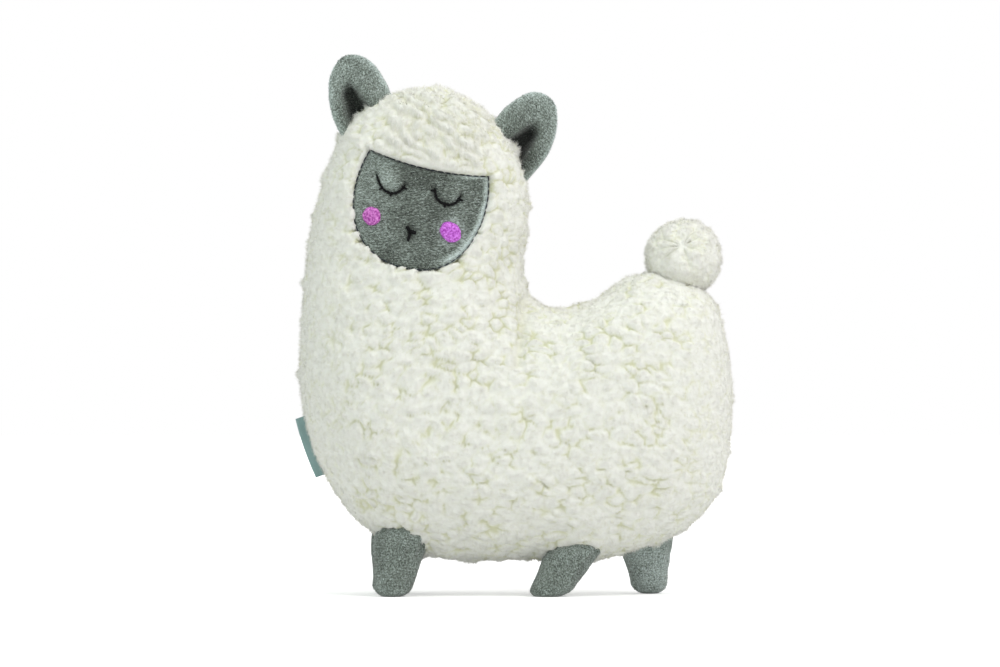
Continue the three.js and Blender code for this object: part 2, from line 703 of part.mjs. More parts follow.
// The neck is where the head's wad ends and the torso's wads begin.
const NECK_STATION = 5.4;
const neckOuter = edgePoint(outerParameter(NECK_STATION));
const neckInner = edgePoint(innerParameter(NECK_STATION));
const neckUp = BACKWARD.clone().cross(neckInner.clone().sub(neckOuter)).normalize().negate();

const wholeFilling = solidOf(bodyForm(SHERPA_THICKNESS + CLEARANCE));
const aboveNeck = halfSpace(neckOuter, neckUp);
const belowNeck = halfSpace(neckOuter.clone().addScaledVector(neckUp, -CLEARANCE), neckUp.clone().negate());
const squeakerPocket = turned(
  discProfile(squeakerRadius + CLEARANCE, -squeakerHalf - CLEARANCE, squeakerHalf + CLEARANCE),
  squeakerPlace,
);
const torsoFilling = wholeFilling.intersect(belowNeck).subtract(squeakerPocket);

const stuffing = new THREE.Group();
stuffing.add(
  named("head_stuffing", wholeFilling.intersect(aboveNeck), FIBRE),
  named("torso_stuffing_front", torsoFilling.intersect(frontHalf), FIBRE),
  named("torso_stuffing_back", torsoFilling.intersect(backHalf), FIBRE),
);

const toy = new THREE.Group();
toy.name = "plush_dog_toy";
toy.add(covers, face, ears, legs, tail(), label(outerParameter(6.85)), squeaker, stuffing);

// The toy stands over the origin, with its overall length centred there.
toy.position.x = -new THREE.Box3().setFromObject(toy).getCenter(new THREE.Vector3()).x;

export default toy;
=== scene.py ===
"""A plush toy for dogs, shaped like a small woolly grazing animal, dressed around its construction model.

The body is two halves of curly pile fabric, stuffed and sewn together round the outline. The face, ears and
legs are short velour, the eyes, nose and cheeks are embroidered, and the tail is a gathered ball of pile.
Sizes are in metres. X runs from chest to rump, Y from the viewer backwards, and Z upwards.
"""

import itertools
import json
import math

import bpy
import numpy as np
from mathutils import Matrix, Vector


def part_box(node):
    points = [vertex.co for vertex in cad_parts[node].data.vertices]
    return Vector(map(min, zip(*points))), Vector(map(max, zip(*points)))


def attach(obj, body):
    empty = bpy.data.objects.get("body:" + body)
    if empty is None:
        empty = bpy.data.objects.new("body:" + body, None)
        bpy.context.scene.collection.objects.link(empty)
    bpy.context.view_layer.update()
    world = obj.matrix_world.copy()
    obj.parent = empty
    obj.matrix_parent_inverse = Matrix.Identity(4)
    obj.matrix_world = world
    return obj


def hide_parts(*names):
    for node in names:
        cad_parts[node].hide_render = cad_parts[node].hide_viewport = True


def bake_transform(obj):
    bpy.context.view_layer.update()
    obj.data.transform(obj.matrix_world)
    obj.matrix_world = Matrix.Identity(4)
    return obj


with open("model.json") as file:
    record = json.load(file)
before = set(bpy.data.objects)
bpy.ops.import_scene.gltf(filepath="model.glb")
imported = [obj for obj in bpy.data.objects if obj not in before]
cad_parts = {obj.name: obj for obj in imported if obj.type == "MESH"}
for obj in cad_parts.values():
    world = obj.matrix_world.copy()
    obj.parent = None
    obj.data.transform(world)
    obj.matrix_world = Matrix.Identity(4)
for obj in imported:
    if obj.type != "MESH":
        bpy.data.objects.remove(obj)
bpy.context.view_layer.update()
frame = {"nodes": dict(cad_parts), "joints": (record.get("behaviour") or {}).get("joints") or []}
joints = {joint["name"]: joint for joint in frame["joints"]}

# Body sizes, as in the construction model
TORSO_LENGTH = 0.216
TORSO_HEIGHT = 0.1265
TORSO_DEPTH = 0.090
NECK_WIDTH = 0.108
NECK_SETBACK = 0.059
HEAD_RISE = 0.1095
HEAD_DEPTH = 0.072
SECTION_FULLNESS = 2.4
RUMP_REACH = 0.502

# Face sizes
FACE_WIDTH = 0.066
FACE_HEIGHT = 0.0545
FACE_TILT = math.radians(12.5)
FACE_SINK = 0.0022
FACE_THICKNESS = 0.0022

# Curly pile
CURL_SIZE = 0.0070
CURL_VALLEY = 0.0009
CURL_HEIGHT = 0.0027
PILE_LENGTH = 0.0023
PILE_WIDTH = 0.00016
# Ranges of shares of the length and the width, and of leans from the normal at the root and the tip
PILE_LENGTHS = (0.55, 1.25)
PILE_WIDTHS = (0.7, 1.2)
PILE_RISE = (0.5, 1.1)
PILE_TURN = (1.1, 1.75)
PILE_SINK = 0.0004
# How much tufts, the slope of a curl, chance and combing add to the way a fibre lies
TUFT_LIE = 0.8
SLOPE_LIE = 1.6
CHANCE_LIE = 0.30
COMB_LIE = 1.6
# Fibres this near to the outline are longer
OUTLINE_WIDTH = 0.006
TUFT_SIZE = 0.0022
MOTTLE_SIZE = 0.0012
SKIN_SCALE = 0.84

# Velour
NAP_LENGTH = 0.0009
NAP_WIDTH = 0.000118
NAP_DENSITY = 8.6e6
NAP_LENGTHS = (0.6, 1.2)
NAP_WIDTHS = (0.7, 1.3)
NAP_RISE = (0.3, 0.8)
NAP_TURN = (0.7, 1.3)
NAP_SINK = 0.0002
NAP_GRAIN = 0.0007
NAP_ROW = 0.0013
NAP_CONTRAST = 0.34
# How far grains, rows and chance change the shade of a fibre, and how many tints a shade of 1 spans
GRAIN_SHADE = 0.72
ROW_SHADE = 0.30
CHANCE_SHADE = 0.10
TINT_STEPS = 3.4
FACE_GRAIN = (1.9, 1.0, 0.75)
LIMB_GRAIN = (0.8, 1.0, 1.2)

# How finely the pieces are drawn
BODY_ROWS = 420
BODY_RING = 400
INNER_STEP = 10
FIBRES_EACH = 55000
TAIL_FIBRES = 21000
# How many parts the pile of the front half and of the back half is split into
FRONT_PILE_PARTS = 3
BACK_PILE_PARTS = 2


# Numbers and noise

NEIGHBOURS = np.array(list(itertools.product((-1, 0, 1), repeat=3)))
CUBE_CORNERS = np.array(list(itertools.product((0, 1), repeat=3)))
# Large numbers that mix a cell's three numbers and a seed
CELL_MIX = (73856093, 19349663, 83492791)
SEED_MIX = 26544357
LAST_MIX = 1274126177
# Added to cell numbers, so that none is negative
CELL_OFFSET = 4096
# How sharply soft distances follow the nearest middle
SOFTNESS = 9.0
# Points searched at once for their nearest middles, and how far round them the middles are kept
BLOCK = 1600
BLOCK_MARGIN = 0.025


def whole_turn(count):
    """Angles once round, at equal steps."""
    return np.linspace(0.0, 2.0 * np.pi, count, endpoint=False)


def smooth_step(low, high, value):
    """Rises from 0 at low to 1 at high along 3t^2 - 2t^3."""
    t = np.clip((value - low) / (high - low), 0.0, 1.0)
    return t * t * (3.0 - 2.0 * t)


def bump(distance, width):
    """A bell curve: 1 at no distance, falling off as e to the minus square of distance over width."""
    return np.exp(-((distance / width) ** 2))


def unit(vectors):
    """Each vector divided by its own length."""
    return vectors / np.maximum(np.linalg.norm(vectors, axis=-1, keepdims=True), 1e-12)


def scatter(cells, seed):
    """A steady random number from 0 to 1 for each whole-number cell, made by mixing its three numbers."""
    x, y, z = (cells[..., axis] * CELL_MIX[axis] for axis in range(3))
    mixed = x ^ y ^ z ^ seed * SEED_MIX
    mixed = (mixed ^ (mixed >> 13)) * LAST_MIX
    mixed = mixed ^ (mixed >> 16)
    return (mixed & 0xFFFFFF) / 0x1000000


def cloud(points, size, seed):
    """Smooth noise from -1 to 1, in blobs about size across: random numbers at the corners of cubes,
    blended by a smooth step along each axis."""
    place = points / size
    cell = np.floor(place).astype(np.int64)
    share = place - cell
    share = share * share * (3.0 - 2.0 * share)
    total = np.zeros(points.shape[:-1])
    for corner in CUBE_CORNERS:
        weight = np.where(corner, share, 1.0 - share).prod(axis=-1)
        total += weight * scatter(cell + corner + CELL_OFFSET, seed)
    return 2.0 * total - 1.0


def clouds(points, *layers):
    """The sum of layers of smooth noise, each given by its amount, its size and its seed."""
    return sum(amount * cloud(points, size, seed) for amount, size, seed in layers)


def vector_cloud(points, size, seed):
    """Smooth noise in three directions."""
    return np.stack([cloud(points, size, seed + axis) for axis in range(3)], axis=-1)


def knob_distance(points, size, seed):
    """A soft distance to the nearest knob, in knob sizes: minus the log of the sum of e to the minus
    distances, which rounds off the lines between knobs. One knob is scattered in each cube of side
    size."""
    place = points / size
    cell = np.floor(place).astype(np.int64)
    total = np.zeros(points.shape[:-1])
    for step in NEIGHBOURS:
        corner = cell + step
        spread = [scatter(corner + CELL_OFFSET, seed + axis) for axis in range(3)]
        distance = np.linalg.norm(corner + np.stack(spread, axis=-1) - place, axis=-1)
        total += np.exp(-SOFTNESS * distance)
    return -np.log(total) / SOFTNESS


def gap_squares(points, middles):
    """Squares of the distances from all points to all middles: both places' squares, less twice their
    product."""
    return np.sum(points ** 2, axis=1)[:, None] + np.sum(middles ** 2, axis=1) - 2.0 * points @ middles.T


def nearest_gaps(points, middles, count):
    """Distances from each point to the nearest few middles, in order, worked out for one block of points
    at a time from the middles round that block."""
    flat = points.reshape(-1, 3)
    found = np.empty((len(flat), count))
    for start in range(0, len(flat), BLOCK):
        block = flat[start:start + BLOCK]
        low = block.min(axis=0) - BLOCK_MARGIN
        high = block.max(axis=0) + BLOCK_MARGIN
        near = middles[np.all((middles > low) & (middles < high), axis=1)]
        nearest = np.partition(gap_squares(block, near), count, axis=1)[:, :count]
        found[start:start + BLOCK] = np.sort(nearest, axis=1)
    return np.sqrt(np.maximum(found, 0.0)).reshape(points.shape[:-1] + (count,))


def hermite(start, end, leave, arrive, t):
    """A cubic curve from start to end with the given slopes at both, at t from 0 to 1."""
    square = 3.0 * (end - start) - 2.0 * leave - arrive
    cube = 2.0 * (start - end) + leave + arrive
    return start + t * (leave + t * (square + t * cube))


def closed_spline(knots, share):
    """Points of a closed centripetal Catmull-Rom curve through the knots. Share runs from 0 to 1 once
    round."""
    count = len(knots)
    place = np.mod(share, 1.0) * count
    first = np.floor(place).astype(int)
    t = (place - first)[..., None]
    p0, p1, p2, p3 = (knots[(first + step) % count] for step in (-1, 0, 1, 2))
    d0, d1, d2 = (
        np.sqrt(np.linalg.norm(end - start, axis=-1, keepdims=True))
        for start, end in ((p0, p1), (p1, p2), (p2, p3))
    )
    leave = d1 * ((p1 - p0) / d0 - (p2 - p0) / (d0 + d1) + (p2 - p1) / d1)
    arrive = d1 * ((p2 - p1) / d1 - (p3 - p1) / (d1 + d2) + (p3 - p2) / d2)
    return hermite(p1, p2, leave, arrive, t)


def distance_along(path):
    """How far along a path each of its points is: the sum of the steps before it."""
    return np.concatenate([[0.0], np.cumsum(np.linalg.norm(np.diff(path, axis=0), axis=1))])


def evenly(points, count, closed=False):
    """A path resampled to count points at equal distances along it."""
    path = np.concatenate([points, points[:1]]) if closed else points
    travelled = distance_along(path)
    wanted = np.linspace(0.0, travelled[-1], count, endpoint=not closed)
    return np.stack([np.interp(wanted, travelled, path[:, axis]) for axis in range(path.shape[1])], axis=-1)


def cubic_blend(samples, places):
    """Values between samples along the first axis, at fractional places, by Catmull-Rom weights."""
    first = np.floor(places).astype(int)
    t = (places - first).reshape((-1,) + (1,) * (samples.ndim - 1))
    last = len(samples) - 1
    p0, p1, p2, p3 = (samples[np.clip(first + step, 0, last)] for step in (-1, 0, 1, 2))
    return hermite(p1, p2, (p2 - p0) / 2.0, (p3 - p1) / 2.0, t)


def sample(grid, row, column):
    """Values of a grid at fractional rows and columns, blended linearly between the four nearest
    points."""
    top = np.clip(np.floor(row).astype(int), 0, grid.shape[0] - 2)
    left = np.clip(np.floor(column).astype(int), 0, grid.shape[1] - 2)
    down = (row - top)[..., None]
    side = (column - left)[..., None]
    upper = grid[top, left] * (1.0 - side) + grid[top, left + 1] * side
    lower = grid[top + 1, left] * (1.0 - side) + grid[top + 1, left + 1] * side
    return upper * (1.0 - down) + lower * down


def ring_normals(rings, inside):
    """Unit normals of closed rings, from the cross product of the steps along and round them, turned away
    from the points inside. At a pole they are the mean of the next ring's."""
    along = np.gradient(rings, axis=0)
    around = np.roll(rings, -1, axis=1) - np.roll(rings, 1, axis=1)
    normals = unit(np.cross(along, around))
    facing = np.sum(normals * (rings - inside), axis=-1, keepdims=True)
    normals = np.where(facing < 0, -normals, normals)
    normals[0] = unit(normals[1].mean(axis=0))
    normals[-1] = unit(normals[-2].mean(axis=0))
    return normals


def wrapped(*grids):
    """Grids of closed rings, each with its first column repeated after the last one."""
    return [np.concatenate([grid, grid[:, :1]], axis=1) for grid in grids]


def close_ends(rings):
    """Draws the first and the last ring together into their middles."""
    rings[0] = rings[0].mean(axis=0)
    rings[-1] = rings[-1].mean(axis=0)


# Meshes


def turned_outwards(points, faces):
    """The faces of a closed mesh, all turned round if its signed volume is negative."""
    volume = 0.0
    for group in faces:
        for step in range(1, group.shape[1] - 1):
            a, b, c = points[group[:, 0]], points[group[:, step]], points[group[:, step + 1]]
            volume += np.sum(a * np.cross(b, c))
    return faces if volume > 0 else [group[:, ::-1] for group in faces]


def mesh_piece(name, points, faces, materials, tints=None, attributes=None, smooth=True):
    """A mesh object from an array of points and arrays of faces with equal numbers of corners. Tints gives
    each face its material, and attributes gives each point a number."""
    mesh = bpy.data.meshes.new(name)
    corners = np.concatenate([group.ravel() for group in faces]).astype(np.int32)
    sizes = np.concatenate([np.full(len(group), group.shape[1]) for group in faces])
    starts = (np.cumsum(sizes) - sizes).astype(np.int32)
    mesh.vertices.add(len(points))
    mesh.vertices.foreach_set("co", points.astype(np.float32).ravel())
    mesh.loops.add(len(corners))
    mesh.loops.foreach_set("vertex_index", corners)
    mesh.polygons.add(len(starts))
    mesh.polygons.foreach_set("loop_start", starts)
    mesh.polygons.foreach_set("use_smooth", np.full(len(starts), smooth))
    for material in materials:
        mesh.materials.append(material)
    if tints is not None:
        mesh.polygons.foreach_set("material_index", tints.astype(np.int32))
    for key, values in (attributes or {}).items():
        numbers = mesh.attributes.new(key, "FLOAT", "POINT")
        numbers.data.foreach_set("value", values.astype(np.float32).ravel())
    mesh.update(calc_edges=True)
    piece = bpy.data.objects.new(name, mesh)
    bpy.context.scene.collection.objects.link(piece)
    return piece


def ring_quads(corner):
    """Quads between neighbouring closed rings, from the numbers of their points."""
    beside = np.roll(corner, -1, axis=1)
    return np.stack([corner[:-1], beside[:-1], beside[1:], corner[1:]], axis=-1).reshape(-1, 4)


def with_poles(rings):
    """The points of rings in order, with the single points of the first and the last ring at the end."""
    between = rings[1:-1].reshape((-1,) + rings.shape[2:])
    return np.concatenate([between, rings[0, :1], rings[-1, :1]])


def ring_faces(rows, columns):
    """Quads between closed rings, and a fan of triangles at each end to the two pole points that come
    last."""
    corner = np.arange(rows * columns).reshape(rows, columns)
    beside = np.roll(corner, -1, axis=1)
    first = np.full(columns, rows * columns)
    start = np.stack([first, beside[0], corner[0]], axis=-1)
    end = np.stack([first + 1, corner[-1], beside[-1]], axis=-1)
    return [ring_quads(corner), np.concatenate([start, end])]


def ring_piece(name, rings, materials, **attributes):
    """A closed piece over rings of points, whose first and last rings are drawn together into a point."""
    points = with_poles(rings)
    faces = turned_outwards(points, ring_faces(len(rings) - 2, rings.shape[1]))
    numbers = {key: with_poles(values) for key, values in attributes.items()}
    return mesh_piece(name, points, faces, materials, attributes=numbers)


def carried_profile(path, sides, across, radius):
    """Rings of a round profile carried along a path. Across is the profile's first direction at each
    point. The first and last radius are 0, so the ends close."""
    tangent = unit(np.gradient(path, axis=0))
    second = unit(np.cross(tangent, across))
    first = np.cross(second, tangent)
    angle = whole_turn(sides)
    wide = np.cos(angle)[None, :, None] * first[:, None]
    high = np.sin(angle)[None, :, None] * second[:, None]
    return path[:, None] + radius[:, None, None] * (wide + high)


def cell_areas(grid, weight):
    """The areas of a grid's cells, as the length of the cross product of two sides, each times its
    weight."""
    down = grid[1:, :-1] - grid[:-1, :-1]
    side = grid[:-1, 1:] - grid[:-1, :-1]
    return np.linalg.norm(np.cross(down, side), axis=-1) * weight[:-1, :-1]


def spread_places(grid, count, rng, weight):
    """Random rows and columns spread evenly over a grid's area, in the order of its rows. A cell is drawn
    with a chance of its area times its weight."""
    area = cell_areas(grid, weight)
    chance = np.cumsum(area.ravel())
    cell = np.searchsorted(chance, np.sort(rng.random(count)) * chance[-1])
    row, column = np.unravel_index(np.minimum(cell, area.size - 1), area.shape)
    return row + rng.random(count), column + rng.random(count)


def fibres(name, roots, normals, lie, length, width, lean, materials, tints):
    """Fine fibres as bent, tapering ribbons. Each rises from its root at the first lean from the normal,
    turns over to the second lean towards its lie, and ends in a point. Its flat side faces outwards."""
    lie = unit(lie - normals * np.sum(lie * normals, axis=-1, keepdims=True))
    across = np.cross(lie, normals) * (width / 2.0)[:, None]
    rise, turn = (np.cos(angle)[:, None] * normals + np.sin(angle)[:, None] * lie for angle in lean)
    middle = roots + rise * (0.5 * length)[:, None]
    tip = middle + turn * (0.5 * length)[:, None]
    narrow = 0.8 * across
    points = np.stack([roots - across, roots + across, middle + narrow, middle - narrow, tip], axis=1)
    start = points.shape[1] * np.arange(len(roots))[:, None]
    faces = [start + np.array([0, 1, 2, 3]), start + np.array([3, 2, 4])]
    face_tints = np.concatenate([tints, tints])
    return mesh_piece(name, points.reshape(-1, 3), faces, materials, face_tints, smooth=False)


# Finishes


def tone(red, green, blue):
    """A colour from 0 to 255 as the linear light that the shader takes."""
    share = np.array([red, green, blue]) / 255.0
    linear = np.where(share <= 0.04045, share / 12.92, ((share + 0.055) / 1.055) ** 2.4)
    return (*linear, 1.0)


class Finish:
    """A material with its shader, and short ways to add nodes that read the piece's own place."""

    def __init__(self, name, colour, roughness, sheen=0.0, specular=0.3):
        """A plain material in one colour."""
        self.material = bpy.data.materials.new(name)
        self.material.use_nodes = True
        self.tree = self.material.node_tree
        self.shader = self.tree.nodes["Principled BSDF"]
        self.shader.inputs["Base Color"].default_value = colour
        self.shader.inputs["Roughness"].default_value = roughness
        self.shader.inputs["Sheen Weight"].default_value = sheen
        self.shader.inputs["Sheen Roughness"].default_value = 0.5
        self.shader.inputs["Specular IOR Level"].default_value = specular

    def node(self, kind, **inputs):
        """A node of a kind, with numbers or links on the named inputs."""
        made = self.tree.nodes.new(kind)
        for key, value in inputs.items():
            socket = made.inputs[key.replace("_", " ")]
            if isinstance(value, bpy.types.NodeSocket):
                self.tree.links.new(value, socket)
            else:
                socket.default_value = value
        return made

    def place(self):
        """The place of each point on the piece, in metres."""
        return self.node("ShaderNodeTexCoord").outputs["Object"]

    def noise(self, size, detail=2.0):
        """Noise in blobs about size across."""
        made = self.node("ShaderNodeTexNoise", Vector=self.place(), Scale=1.0 / size, Detail=detail)
        return made.outputs["Fac"]

    def number(self, name):
        """The number that each point of the mesh carries under this name."""
        made = self.node("ShaderNodeAttribute")
        made.attribute_name = name
        return made.outputs["Fac"]

    def ramp(self, factor, *stops):
        """Colours at places from 0 to 1 along a factor."""
        made = self.node("ShaderNodeValToRGB", Fac=factor)
        while len(made.color_ramp.elements) < len(stops):
            made.color_ramp.elements.new(0.5)
        for element, (place, colour) in zip(made.color_ramp.elements, stops):
            element.position = place
            element.color = colour
        return made.outputs["Color"]

    def total(self, first, second):
        """The sum of two numbers."""
        made = self.tree.nodes.new("ShaderNodeMath")
        self.tree.links.new(first, made.inputs[0])
        self.tree.links.new(second, made.inputs[1])
        return made.outputs[0]

    def mix(self, factor, first, second):
        """Two colours blended by a factor from 0 to 1."""
        made = self.tree.nodes.new("ShaderNodeMix")
        made.data_type = "RGBA"
        for socket, value in ((made.inputs[0], factor), (made.inputs[6], first), (made.inputs[7], second)):
            if isinstance(value, bpy.types.NodeSocket):
                self.tree.links.new(value, socket)
            else:
                socket.default_value = value
        return made.outputs[2]

    def colour(self, socket):
        """Gives the surface a colour that varies."""
        self.tree.links.new(socket, self.shader.inputs["Base Color"])

    def rough(self, factor, low, high):
        """Lets the roughness run from low to high along a factor."""
        made = self.node("ShaderNodeMapRange", Value=factor, To_Min=low, To_Max=high)
        self.tree.links.new(made.outputs["Result"], self.shader.inputs["Roughness"])

    def relief(self, height, distance, strength=1.0):
        """Fine relief too small for the mesh, with a height of distance."""
        made = self.node("ShaderNodeBump", Height=height, Distance=distance, Strength=strength)
        self.tree.links.new(made.outputs["Normal"], self.shader.inputs["Normal"])


def wool_skin():
    """Curly pile: creamy white on the curls, with painted shade that makes it warmer and darker in the
    valleys between them, along the neck's crease and on the tail's underside and folds.
    """
    made = Finish("wool_skin", tone(236, 237, 228), roughness=0.95, sheen=0.1, specular=0.1)
    # Painted shade: the valley number makes the colour warmer and darker
    curls = made.ramp(
        made.number("valley"),
        (0.0, tone(234, 235, 229)),
        (0.45, tone(226, 227, 212)),
        (1.0, tone(206, 207, 172)),
    )
    patches = made.ramp(made.noise(0.018), (0.35, tone(240, 240, 234)), (0.7, tone(235, 237, 232)))
    made.colour(made.mix(0.15, curls, patches))
    made.rough(made.noise(0.0012, detail=3.0), low=0.85, high=1.0)
    made.relief(made.noise(0.0007, detail=4.0), distance=0.0004, strength=0.7)
    return made.material


def fibre_finishes(tints, roughness, sheen, specular):
    """One plain finish for each tint of fibre, by its name."""
    return [Finish(name, tone(*tint), roughness, sheen, specular).material for name, tint in tints.items()]


def velour_skin(name, grain):
    """Velour backing: greys from a number that each point carries, which holds the velour's own tone with
    painted light and painted shade, broken up by fine grains that grain stretches along the axes."""
    made = Finish(name, tone(104, 114, 109), roughness=0.9, sheen=0.3, specular=0.15)
    stretched = made.node("ShaderNodeMapping", Vector=made.place(), Scale=[1.0 / share for share in grain])
    grains = made.node("ShaderNodeTexNoise", Vector=stretched.outputs[0], Scale=1.0 / NAP_GRAIN, Detail=1.0)
    uneven = made.node("ShaderNodeMapRange", Value=grains.outputs["Fac"], From_Min=0.25, From_Max=0.75)
    uneven.inputs["To Min"].default_value = -NAP_CONTRAST
    uneven.inputs["To Max"].default_value = NAP_CONTRAST
    # The number that each point carries holds the velour's own tone with painted light and painted shade
    shade = made.total(made.number("brushed"), uneven.outputs["Result"])
    greys = made.ramp(
        shade,
        (0.0, tone(40, 43, 41)),
        (0.4, tone(99, 107, 100)),
        (0.75, tone(160, 172, 166)),
        (1.0, tone(206, 219, 219)),
    )
    made.colour(greys)
    made.rough(made.noise(0.001, detail=2.0), low=0.75, high=1.0)
    made.relief(grains.outputs["Fac"], distance=0.0005, strength=0.8)
    return made.material


def thread(name, dark, light, size, sheen):
    """Embroidery thread: two close tones in streaks, with a soft gloss."""
    made = Finish(name, tone(*dark), roughness=0.55, sheen=sheen, specular=0.12)
    made.colour(made.ramp(made.noise(size, detail=3.0), (0.35, tone(*dark)), (0.7, tone(*light))))
    made.rough(made.noise(size, detail=1.0), low=0.45, high=0.7)
    made.relief(made.noise(size / 2.0, detail=2.0), distance=0.0002, strength=0.6)
    return made.material


def ribbon_weave():
    """A bare woven ribbon: fine threads across and along, in a greyed blue green."""
    made = Finish("label_ribbon", tone(112, 130, 130), roughness=0.6, sheen=0.2, specular=0.3)
    threads = made.node("ShaderNodeTexWave", Vector=made.place(), Scale=900.0, Distortion=0.6)
    threads.bands_direction = "Z"
    weave = threads.outputs["Fac"]
    made.colour(made.ramp(weave, (0.0, tone(112, 140, 140)), (1.0, tone(150, 178, 177))))
    made.rough(weave, low=0.5, high=0.75)
    made.relief(weave, distance=0.0001, strength=0.6)
    return made.material


def fibre_filling():
    """Polyester filling: a tangle of white fibres."""
    made = Finish("fibre_filling", tone(240, 240, 238), roughness=0.9, sheen=0.2)
    tangle = made.noise(0.002, detail=5.0)
    made.colour(made.ramp(tangle, (0.3, tone(220, 221, 220)), (0.7, tone(250, 250, 249))))
    made.relief(made.noise(0.0012, detail=5.0), distance=0.001, strength=0.8)
    return made.material


def squeaker_shell():
    """Moulded plastic: nearly white, slightly cloudy, with a fine moulded grain."""
    made = Finish("squeaker_shell", tone(225, 228, 226), roughness=0.4, specular=0.5)
    cloudy = made.noise(0.012, detail=3.0)
    made.colour(made.ramp(cloudy, (0.3, tone(216, 220, 218)), (0.7, tone(234, 236, 234))))
    made.rough(made.noise(0.003, detail=3.0), low=0.3, high=0.5)
    made.relief(made.noise(0.0006, detail=2.0), distance=0.00005, strength=0.4)
    return made.material


def reed_plate():
    """A thin springy reed: warm amber plastic with faint streaks along it."""
    made = Finish("reed_plate", tone(201, 164, 90), roughness=0.45, specular=0.5)
    streaks = made.noise(0.0015, detail=2.0)
    made.colour(made.ramp(streaks, (0.3, tone(186, 148, 76)), (0.7, tone(212, 178, 108))))
    made.rough(made.noise(0.002, detail=2.0), low=0.35, high=0.55)
    return made.material


# From the whitest fibres to those deep in the valleys. The warm tint is partly the wool's own uneven tone
# and partly painted shade, and the deep tint is painted shade
WOOL_TINTS = {
    "wool_white": (239, 238, 235),
    "wool_cream": (230, 229, 222),
    "wool_warm_tone_and_shade": (223, 222, 205),
    "wool_deep_shade": (209, 207, 172),
}
# From dark to light
VELOUR_TINTS = {
    "velour_dark": (52, 56, 52),
    "velour_mid": (107, 116, 108),
    "velour_light": (162, 175, 168),
    "velour_pale": (217, 229, 227),
}
WOOL_SKIN = wool_skin()
WOOL_FIBRES = fibre_finishes(WOOL_TINTS, roughness=0.9, sheen=0.1, specular=0.1)
FACE_VELOUR = velour_skin("face_velour_skin", FACE_GRAIN)
LIMB_VELOUR = velour_skin("limb_velour_skin", LIMB_GRAIN)
VELOUR_FIBRES = fibre_finishes(VELOUR_TINTS, roughness=0.8, sheen=0.7, specular=0.2)
BLACK_THREAD = thread("black_thread", dark=(4, 4, 5), light=(16, 16, 18), size=0.0008, sheen=0.0)
EDGE_THREAD = thread("edge_thread", dark=(30, 33, 40), light=(70, 74, 86), size=0.001, sheen=0.05)
PINK_THREAD = thread("pink_thread", dark=(146, 50, 142), light=(234, 150, 228), size=0.0010, sheen=0.1)
VIOLET_THREAD = thread("violet_thread", dark=(150, 48, 164), light=(234, 146, 252), size=0.0010, sheen=0.1)
CREAM_THREAD = thread("cream_thread", dark=(226, 218, 196), light=(245, 240, 224), size=0.001, sheen=0.1)
LABEL_RIBBON = ribbon_weave()
FIBRE_FILLING = fibre_filling()
SQUEAKER_SHELL = squeaker_shell()
REED_PLATE = reed_plate()


# Body form

cover_low, cover_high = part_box("front_cover")
BELLY_HEIGHT = cover_low.z
BACK_HEIGHT = BELLY_HEIGHT + TORSO_HEIGHT
TORSO_MIDDLE = cover_high.x - RUMP_REACH * TORSO_LENGTH
NECK_MIDDLE = TORSO_MIDDLE - TORSO_LENGTH / 2.0 + NECK_SETBACK


def torso_at(along, up):
    """A place on the torso, as shares of its length from the middle and of its height from the belly."""
    return TORSO_MIDDLE + along * TORSO_LENGTH, BELLY_HEIGHT + up * TORSO_HEIGHT


def head_at(along, up):
    """A place on the head, as shares of the neck's width from its middle and of the head's rise."""
    return NECK_MIDDLE + along * NECK_WIDTH, BACK_HEIGHT + up * HEAD_RISE


# From the crown to the rump: the outline's outer edge, its inner edge, and the depth between front and back
STATIONS = [
    (head_at(0.06, 1.0), head_at(0.06, 1.0), 0.0),
    (head_at(-0.14, 0.96), head_at(0.24, 0.945), 0.5 * HEAD_DEPTH),
    (head_at(-0.333, 0.813), head_at(0.38, 0.82), 0.82 * HEAD_DEPTH),
    (head_at(-0.435, 0.575), head_at(0.49, 0.61), 0.97 * HEAD_DEPTH),
    (head_at(-0.5, 0.31), head_at(0.505, 0.44), HEAD_DEPTH),
    (torso_at(-0.495, 0.93), head_at(0.49, 0.256), 0.87 * TORSO_DEPTH),
    (torso_at(-0.498, 0.69), head_at(0.5, 0.128), 0.96 * TORSO_DEPTH),
    (torso_at(-0.458, 0.4), torso_at(0.039, 1.05), TORSO_DEPTH),
    (torso_at(-0.37, 0.17), torso_at(0.069, 1.012), TORSO_DEPTH),
    (torso_at(-0.24, 0.032), torso_at(0.12, 0.996), TORSO_DEPTH),
    (torso_at(-0.07, 0.0), torso_at(0.185, 1.024), TORSO_DEPTH),
    (torso_at(0.116, 0.008), torso_at(0.255, 1.09), TORSO_DEPTH),
    (torso_at(0.278, 0.04), torso_at(0.322, 1.13), 0.97 * TORSO_DEPTH),
    (torso_at(0.394, 0.125), torso_at(0.412, 1.085), 0.85 * TORSO_DEPTH),
    (torso_at(0.468, 0.26), torso_at(0.474, 0.96), 0.62 * TORSO_DEPTH),
    (torso_at(0.502, 0.59), torso_at(0.502, 0.59), 0.0),
]
LAST_STATION = len(STATIONS) - 1
# How many stations the sections' middles stay back from the crown and the rump
END_SETBACK = 1.5
OUTLINE = np.array(
    [(outer[0], depth / 2.0, outer[1]) for outer, inner, depth in STATIONS]
    + [(inner[0], -depth / 2.0, inner[1]) for outer, inner, depth in STATIONS[-2:0:-1]]
)


def edges(station):
    """The outer and inner edge of the outline at a station, with half the depth held in Y."""
    share = station / (2.0 * LAST_STATION)
    return closed_spline(OUTLINE, share), closed_spline(OUTLINE, 1.0 - share)


def swell(share):
    """How far a section reaches at a sine or cosine: its size to the power of 2 over the fullness."""
    return np.sign(share) * np.abs(share) ** (2.0 / SECTION_FULLNESS)


def section_middles(station):
    """The middle of each section, halfway between its two edges."""
    outer, inner = edges(station)
    return (outer + inner) / 2.0 * np.array([1.0, 0.0, 1.0])


def core_middles(station):
    """The sections' middles, kept back from the crown and the rump, so that all of the skin lies outside
    them."""
    return section_middles(np.clip(station, END_SETBACK, LAST_STATION - END_SETBACK))


